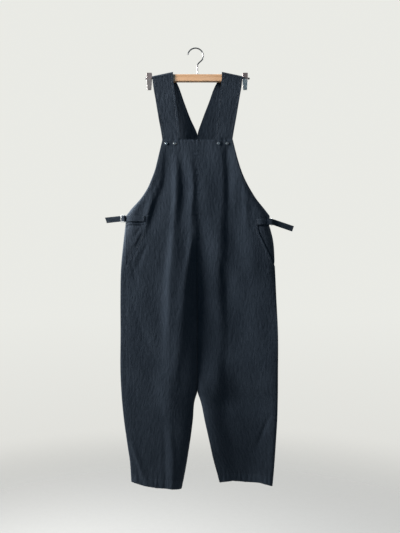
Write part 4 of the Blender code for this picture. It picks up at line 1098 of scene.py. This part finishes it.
def build_back(side):
    """The back: leg, seat and V back in one with the strap that runs over the hanger."""
    name = "back_" + SIDES[side]
    share = spread(BACK_COLUMNS)
    start = seam_angle(side, BACK_ROWS)[:, None]
    below, below_normals = section_grid(side, start + share * (2 * math.pi - start), BACK_ROWS)
    across_back = (1 + np.cos(math.pi * share)) / 2
    z = VEE_ROWS[:, None]
    a = mix(np.maximum(VEE[side](z), 0.0), back_outer(side)(z), across_back)
    y = cloth_y(side, "back", a, z)
    vee = np.stack([side * np.maximum(a, SEAM / 2), y, np.broadcast_to(z, a.shape)], axis=-1)
    above = np.array([*over_the_bar(side, across_back), *vee])
    normals = outward(side, np.concatenate([above, below[:1]]))[:-1]
    grid = np.concatenate([above, below]), np.concatenate([normals, below_normals])
    faces = layer(grid, SEAM / 2, np.concatenate([np.zeros(len(above)), inseam(BACK_ROWS)]))
    z = np.concatenate([above[:, :, 2], np.broadcast_to(BACK_ROWS[:, None], below.shape[:2])])
    edge = back_edges(side, np.abs(grid[0][:, :, 0]), z)
    width = np.abs(grid[0][:FOLD_STEPS, :, 0]) - SHOULDER_INNER[0]
    edge[:FOLD_STEPS] = np.minimum(width, SHOULDER_WIDTH - width)
    panel = grid_mesh(name + "_panel", *faces, CLOTH_LOOK, edge)
    high = np.linspace(VEE_ROWS[0], VEE_APEX - 0.001, 100)
    lines = [
        (VEE[side](high) + STITCH_INSET / slope_factor(VEE[side], high), high),
        sewn_inside(back_outer(side), np.linspace(VEE_ROWS[0], ARMHOLE_END - SEWN_SHORT, 220)),
        (np.linspace(0.001, 0.016, 12), VEE_APEX - 0.011),
        hem_line(side),
    ]
    lengths = [f"{name}_{part}" for part in ("strap", "bib", "hip", "thigh", "calf")]
    at = surface_at(side, "back")
    declared(panel, name, "cloth", lengths, at=at, lines=lines, outwards=(0, 1, 0))


STRAP_SHARES = np.linspace(0, 1, 27)
STRAP_STEPS = np.linspace(0, 1, 96)
STITCH_BAR_Z = -0.231
STRAP_FROM_Z = -0.0805
STRAP_FINE_LIFT = 0.00008
STRAP_GATHERS, STRAP_GATHER_REACH = 0.0002, 0.16


def front_strap_at(side):
    def at(share, step):
        z = mix(shoulder(share)[1] - SEAM_BELOW_FOLD - GAP, STRAP_END, step)
        a = mix(STRAP_INNER(z), STRAP_OUTER(z), share)
        x = side * a
        plain = -BULGE["front"](BIB_TOP)
        pressed_on = ease(-z, -BIB_TOP - 0.012, -BIB_TOP - 0.002)
        behind_bib = mix(plain, cloth_y(side, "front", a, np.minimum(z, BIB_TOP)), pressed_on) + CLOTH + GAP
        y = mix(-(BAR_HALF_DEPTH + GAP + STRAP), behind_bib, ease(-z, 0.12, -BIB_TOP - 0.01))
        free = ease(-z, 0.105, 0.15) * ease(z, BIB_TOP - 0.002, BIB_TOP + 0.05)
        wave = SLOW_LIFT * uneven(SLOW["back"], 0.9 * x, 1.6 * z)
        wave = wave + STRAP_FINE_LIFT * uneven(FINE["front"], x, z)
        near_edges = np.exp(-share / STRAP_GATHER_REACH) + np.exp(-(1 - share) / STRAP_GATHER_REACH)
        edges = STRAP_GATHERS * puckers(z, 0.014, 0.8 + side) * near_edges
        return np.stack([x, y - free * (wave + edges), z], axis=-1)

    return at


def build_front_strap(side):
    """From the shoulder seam down behind the bib, to just below its studs."""
    name = "front_strap_" + SIDES[side]
    at = front_strap_at(side)
    points = at(STRAP_SHARES[None, :], STRAP_STEPS[:, None])
    a = np.abs(points[:, :, 0])
    edge = np.minimum(a - a[:, :1], a[:, -1:] - a)
    faces = layer((points, outward(side, points)), thickness=STRAP)
    strap = grid_mesh(name + "_cloth", *faces, STRAP_LOOK, edge)
    long = np.linspace(0.012, 0.985, 160)
    inset = STITCH_INSET / SHOULDER_WIDTH
    bar_step = (STRAP_FROM_Z - STITCH_BAR_Z) / (STRAP_FROM_Z - STRAP_END)
    lines = [
        (inset, long), (1 - inset * 1.25, long), (np.linspace(0.02, 0.98, 50), 0.012),
        (np.linspace(inset, 1 - inset * 1.2, 40), bar_step),
    ]
    declared(strap, name, "strap_cloth", [name], at=at, lines=lines)


# ---------------------------------------------------------------- adjusters
TAB_EDGE_SCALE = 2.0  # a tab is stitched nearer its edge
TAB_INSET = 0.0028
CARRIER_INSET = 0.0026
CARRIER_STEPS = 14  # points along each half of the carrier
LOOP_STEPS = 17  # and round its loop
LOOP_TURN = 75.0  # half of the loop's turn round the ring's bar, in degrees
RIBBON_COLUMNS = 13
EDGE_THINNING = 0.55


def ring_place(side):
    """The slide ring's own frame: x outwards along the tab, y through the ring, z along its bars."""
    spec = ADJUSTERS[side]
    place = Matrix.Translation((side * spec.a, spec.y, spec.z))
    return place @ Matrix.Rotation(math.radians(side * spec.turn), 4, "Z")


def ribbon_at(side, path, middle, half_width, offset, tilt=0.0, tilt_from=0.0, end_slant=0.0):
    """A point of a flat strap that follows a path in plan. Beyond tilt_from it drops by the tilt."""
    slope = math.tan(math.radians(tilt))
    along = unit(np.gradient(path, axis=0))
    line = path + np.stack([-along[:, 1], along[:, 0]], axis=1) * offset
    steps = np.arange(len(path))

    def at(w, step):
        plain, a, y = (np.interp(step, steps, values) for values in (path[:, 0], *line.T))
        beyond = np.maximum(0.0, plain - tilt_from) if tilt else 0.0 * plain
        turned = math.radians(tilt) * np.minimum(1.0, beyond / 0.008)
        last = end_slant * ease(plain, path[-1][0] - 0.004, path[-1][0])
        lean = w * np.sin(turned) + (w - half_width) * last
        return np.stack([side * (a + lean), y + 0 * w, middle - slope * beyond + w * np.cos(turned)], axis=-1)

    return at


def ribbon(name, side, path, middle, half_width, thickness, **bend):
    """The strap's mesh, rounded slightly at its edges, and the face that its end turns to the front."""
    half = np.broadcast_to(np.asarray(thickness) / 2, len(path))[:, None]
    faces = [ribbon_at(side, path, middle, half_width, sign * half, **bend) for sign in (1, -1)]
    w = half_width * np.sin(np.linspace(-1, 1, RIBBON_COLUMNS) * math.pi / 2)[None, ::-1]
    steps = np.arange(len(path))[:, None]
    grids = [face(w, steps) for face in faces]
    middle_grid = (grids[0] + grids[1]) / 2
    thin = (1 - EDGE_THINNING * np.abs(w / half_width) ** 8)[..., None]
    grids = [middle_grid + (grid - middle_grid) * thin for grid in grids]
    end = np.where(path[:, 0] > path[0, 0], np.maximum(path[-1][0] - path[:, 0], 0), FAR)
    edge = np.minimum(half_width - np.abs(w), end[:, None])
    piece = grid_mesh(name, *grids, STRAP_LOOK, edge * TAB_EDGE_SCALE)
    last = np.array(len(path) - 1)
    return piece, min(faces, key=lambda face: face(np.array(0.0), last)[1])


def strip_lines(edge, along, *ends):
    """Stitches along both edges of a narrow strip and across it at its ends."""
    return [(edge, along), (-edge, along), *((np.linspace(-edge, edge, 14), end) for end in ends)]


def build_tab(side):
    """Sewn to the back at one end, it runs round the side and over the ring's centre bar."""
    spec = ADJUSTERS[side]
    name = "side_tab_" + SIDES[side]
    sewn = [
        (a, depth_at(side, "back", a, spec.z) + 2 * GAP + TAB / 2)
        for a in np.linspace(TAB_SEWN_FROM, TAB_PATHS[side][0].a, 4)[:-1]
    ]
    path = spline(sewn + TAB_PATHS[side], 10)
    bend = {"tilt": spec.tilt, "tilt_from": TAB_TILT_FROM[side], "end_slant": spec.end_slant}
    half = TAB_WIDTH / 2
    tab, front = ribbon(name + "_cloth", side, path, spec.z, half, TAB, **bend)
    last = len(path) - 1
    lines = strip_lines(half - TAB_INSET, np.linspace(last * 0.55, last - 0.6, 60), last - 0.75)
    declared(tab, name, "strap_cloth", [name], at=front, lines=lines)


def build_carrier(side):
    """A strip sewn on the front, doubled round the ring's inner bar."""
    spec = ADJUSTERS[side]
    name = "tab_carrier_" + SIDES[side]
    low, high = spec.z - CARRIER_HALF_HEIGHT, spec.z + CARRIER_HALF_HEIGHT
    under, over, pressed = [], [], []
    for a in np.linspace(spec.carrier_from, spec.carrier_leaves, CARRIER_STEPS):
        face = min(depth_at(side, "front", a, z) for z in np.linspace(low, high, 7))
        thick = CARRIER * (0.5 + 0.5 * float(ease(a, spec.carrier_from, spec.carrier_from + 0.016)))
        under.append((a, face - GAP - thick / 2))
        over.insert(0, (a, face - 2 * GAP - 1.5 * thick))
        pressed.append(thick)
    bar = ring_place(side) @ Vector((-side * RING_BARS, 0, 0))
    centre = (side * bar.x, bar.y)
    radius = RING_WIRE + GAP + CARRIER / 2
    leaves = math.atan2(under[-1][1] - centre[1], under[-1][0] - centre[0])
    turns = leaves + np.radians(np.linspace(LOOP_TURN, -LOOP_TURN, LOOP_STEPS))
    loop = [(centre[0] - radius * math.cos(t), centre[1] - radius * math.sin(t)) for t in turns]
    path = np.array(under + loop + over)
    thickness = np.array(pressed + [CARRIER] * len(loop) + pressed[::-1])
    strip, front = ribbon(name + "_cloth", side, path, spec.z, CARRIER_HALF_HEIGHT, thickness)
    last = len(path) - 1
    along = np.linspace(last - CARRIER_STEPS + 1.5, last - 0.4, 40)
    edge = CARRIER_HALF_HEIGHT - CARRIER_INSET
    lines = strip_lines(edge, along, last - 0.6, last - CARRIER_STEPS + 3.0)
    declared(strip, name, "strap_cloth", [name], front, lines)


def build_ring(side):
    """A rounded wire frame with a centre bar."""
    name = "slide_ring_" + SIDES[side]
    loop = []
    for cx, cz, first in ((1, 1, 0), (-1, 1, 90), (-1, -1, 180), (1, -1, 270)):
        for turn in np.radians(np.linspace(first, first + 90, 8)):
            x = cx * (RING_BARS - RING_CORNER) + RING_CORNER * math.cos(turn)
            z = cz * (RING_HALF_HEIGHT - RING_CORNER) + RING_CORNER * math.sin(turn)
            loop.append((x, 0, z))
    bar = [(0, 0, z) for z in np.linspace(-RING_HALF_HEIGHT, RING_HALF_HEIGHT, 12)]
    place = np.array(ring_place(side))
    parts = [
        tube(np.array(route) @ place[:3, :3].T + place[:3, 3], RING_WIRE, closed=closed)
        for route, closed in ((loop, True), (bar, False))
    ]
    ready(joined(name + "_wire", parts, RING_LOOK), "ring", name)


# ---------------------------------------------------------------- studs and hanger
def build_studs():
    """Low round caps with a rolled rim and a slightly domed middle."""
    rim, top = STUD_RADIUS, STUD_HEIGHT
    profile = [(rim * 0.80, 0.0), (rim * 0.97, 0.0001)]
    for turn in np.linspace(-0.7, 2.2, 9):
        profile.append((rim * (0.86 + 0.14 * math.cos(turn)), top * (0.45 + 0.33 * math.sin(turn))))
    for share in (0.70, 0.6, 0.48, 0.34, 0.2, 0.08):
        profile.append((rim * share, top * (0.66 + 0.32 * math.cos(share * 2.2))))
    for number, x in enumerate(STUDS, start=1):
        face = depth_at(LEFT if x < 0 else RIGHT, "front", abs(x), STUD_Z)
        stud = joined(f"stud_{number}_cap", [lathed(profile, (x, face - GAP, STUD_Z))], STUD_LOOK)
        ready(stud, "stud", f"stud_{number}")


def build_hook():
    """An open loop of wire that bends into its stem and ends in the bar."""
    centre = np.array((HOOK_CENTRE_X, 0, -math.sqrt(HOOK_INSIDE**2 - HOOK_CENTRE_X**2)))
    turns = np.radians(np.linspace(HOOK_TIP_ANGLE, HOOK_LEAVES_ANGLE, 60))
    reach = HOOK_INSIDE + HOOK_WIRE
    points = [centre + reach * np.array((math.cos(t), 0, math.sin(t))) for t in turns]
    stem = np.array((0, 0, STEM_TOP))
    start, pull = points[-1], np.linalg.norm(points[-1] - stem)
    leaving = pull * np.array((math.sin(turns[-1]), 0, -math.cos(turns[-1])))
    points += [eased(t, start, stem, leaving, pull * np.array((0, 0, -1))) for t in np.linspace(0, 1, 22)[1:]]
    points += [(0, 0, z) for z in np.linspace(STEM_TOP, BAR_TOP + GAP, 8)[1:]]
    ready(joined("hanger_hook_wire", [tube(points, HOOK_WIRE, sides=16)], WIRE_LOOK), "wire", "hanger_hook")


def finish_hanger():
    """The bar, rods and clips keep their CAD shapes and get their materials."""
    looks = {"hanger_bar": WOOD_LOOK, "hanger_rod": WIRE_LOOK, "clip": CLIP_LOOK}
    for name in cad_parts:
        for start, look in looks.items():
            if name.startswith(start):
                for slot in bpy.data.objects[name].material_slots:
                    slot.material = look


# ---------------------------------------------------------------- the stage
DAYLIGHT = (0.95, 0.98, 1.0)
LAMPS = {  # place, target, size, power, colour, and spread in degrees
    "key": ((-2.20, -0.50, 0.45), (0.0, 0.0, -0.50), 0.72, 88.0, (0.95, 0.975, 1.0), 110.0),
    "fill": ((-0.8, -3.2, 0.5), (0.0, 0.0, -0.75), 2.2, 9.0, (0.66, 0.95, 1.22), 180.0),
    "behind": ((-2.20, 0.62, 0.30), (0.0, 0.0, -0.60), 0.72, 62.0, DAYLIGHT, 110.0),
    "side": ((2.30, 0.30, 0.05), (0.0, 0.0, -0.65), 1.0, 13.0, DAYLIGHT, 110.0),
}
FLOOR_RINGS = (0.0001, 0.3, 0.6, 0.9, 1.3, 1.8, 2.6)
CAMERA_PLACE = (0.008, -1.9, -0.674)
LENS, SENSOR = 41.4, 36.0


def soft_light(name, place, target, size, power, colour, spread):
    lamp = bpy.data.lights.new(name, "AREA")
    lamp.shape = "DISK"
    lamp.size = size
    lamp.spread = math.radians(spread)
    lamp.energy = power
    lamp.color = colour
    obj = placed(name, lamp, place)
    obj.rotation_euler = (Vector(target) - obj.location).to_track_quat("-Z", "Y").to_euler()


def build_world():
    """A pale wall for the camera, with painted shade that makes it a little darker low down, and a faint blue
    light for the garment.
    """
    world = bpy.data.worlds.new("studio")
    bpy.context.scene.world = world
    world.use_nodes = True
    sky = Nodes(world.node_tree)
    up = sky.node("SeparateXYZ", "Z", {0: sky.node("TexCoord", "Generated")})
    share = sky.node("Math", 0, {0: up, 1: 0.5, 2: 0.5}, operation="MULTIPLY_ADD")
    # painted shade: the wall's colour is darker towards the bottom
    wall = sky.node("ValToRGB", 0, {0: share})
    low, high = wall.node.color_ramp.elements
    low.position, low.color = 0.30, (0.700, 0.695, 0.665, 1)
    high.position, high.color = 0.46, (0.820, 0.825, 0.785, 1)
    background = sky.tree.nodes["Background"]
    sky.link(wall, background.inputs[0])
    lit = sky.node("Background", 0, {0: (0.42, 0.92, 1.35, 1), 1: 0.09})
    inputs = {0: sky.node("LightPath", "Is Camera Ray"), 1: lit, 2: background.outputs[0]}
    sky.link(sky.node("MixShader", 0, inputs), sky.tree.nodes["World Output"].inputs[0])


def build_stage():
    build_world()
    for name, settings in LAMPS.items():
        soft_light(name, *settings)
    ring = np.stack(circle(96), axis=-1)
    rings = [r * ring + (0, 0, FLOOR_Z) for r in FLOOR_RINGS]
    joined("floor", [through_rings(rings, capped=False)], floor_material())


def build_camera():
    camera = bpy.data.cameras.new("camera")
    camera.lens, camera.sensor_width = LENS, SENSOR
    obj = placed("camera", camera, CAMERA_PLACE)
    obj.rotation_euler = (math.radians(90), 0, 0)
    bpy.context.scene.camera = obj
    bpy.context.scene.view_settings.view_transform = "Standard"


def main():
    build_camera()
    for side in (LEFT, RIGHT):
        build_front(side)
        build_facing(side)
        build_back(side)
        build_front_strap(side)
        build_tab(side)
        build_carrier(side)
        build_ring(side)
    build_studs()
    build_hook()
    finish_hanger()
    build_stage()


main()
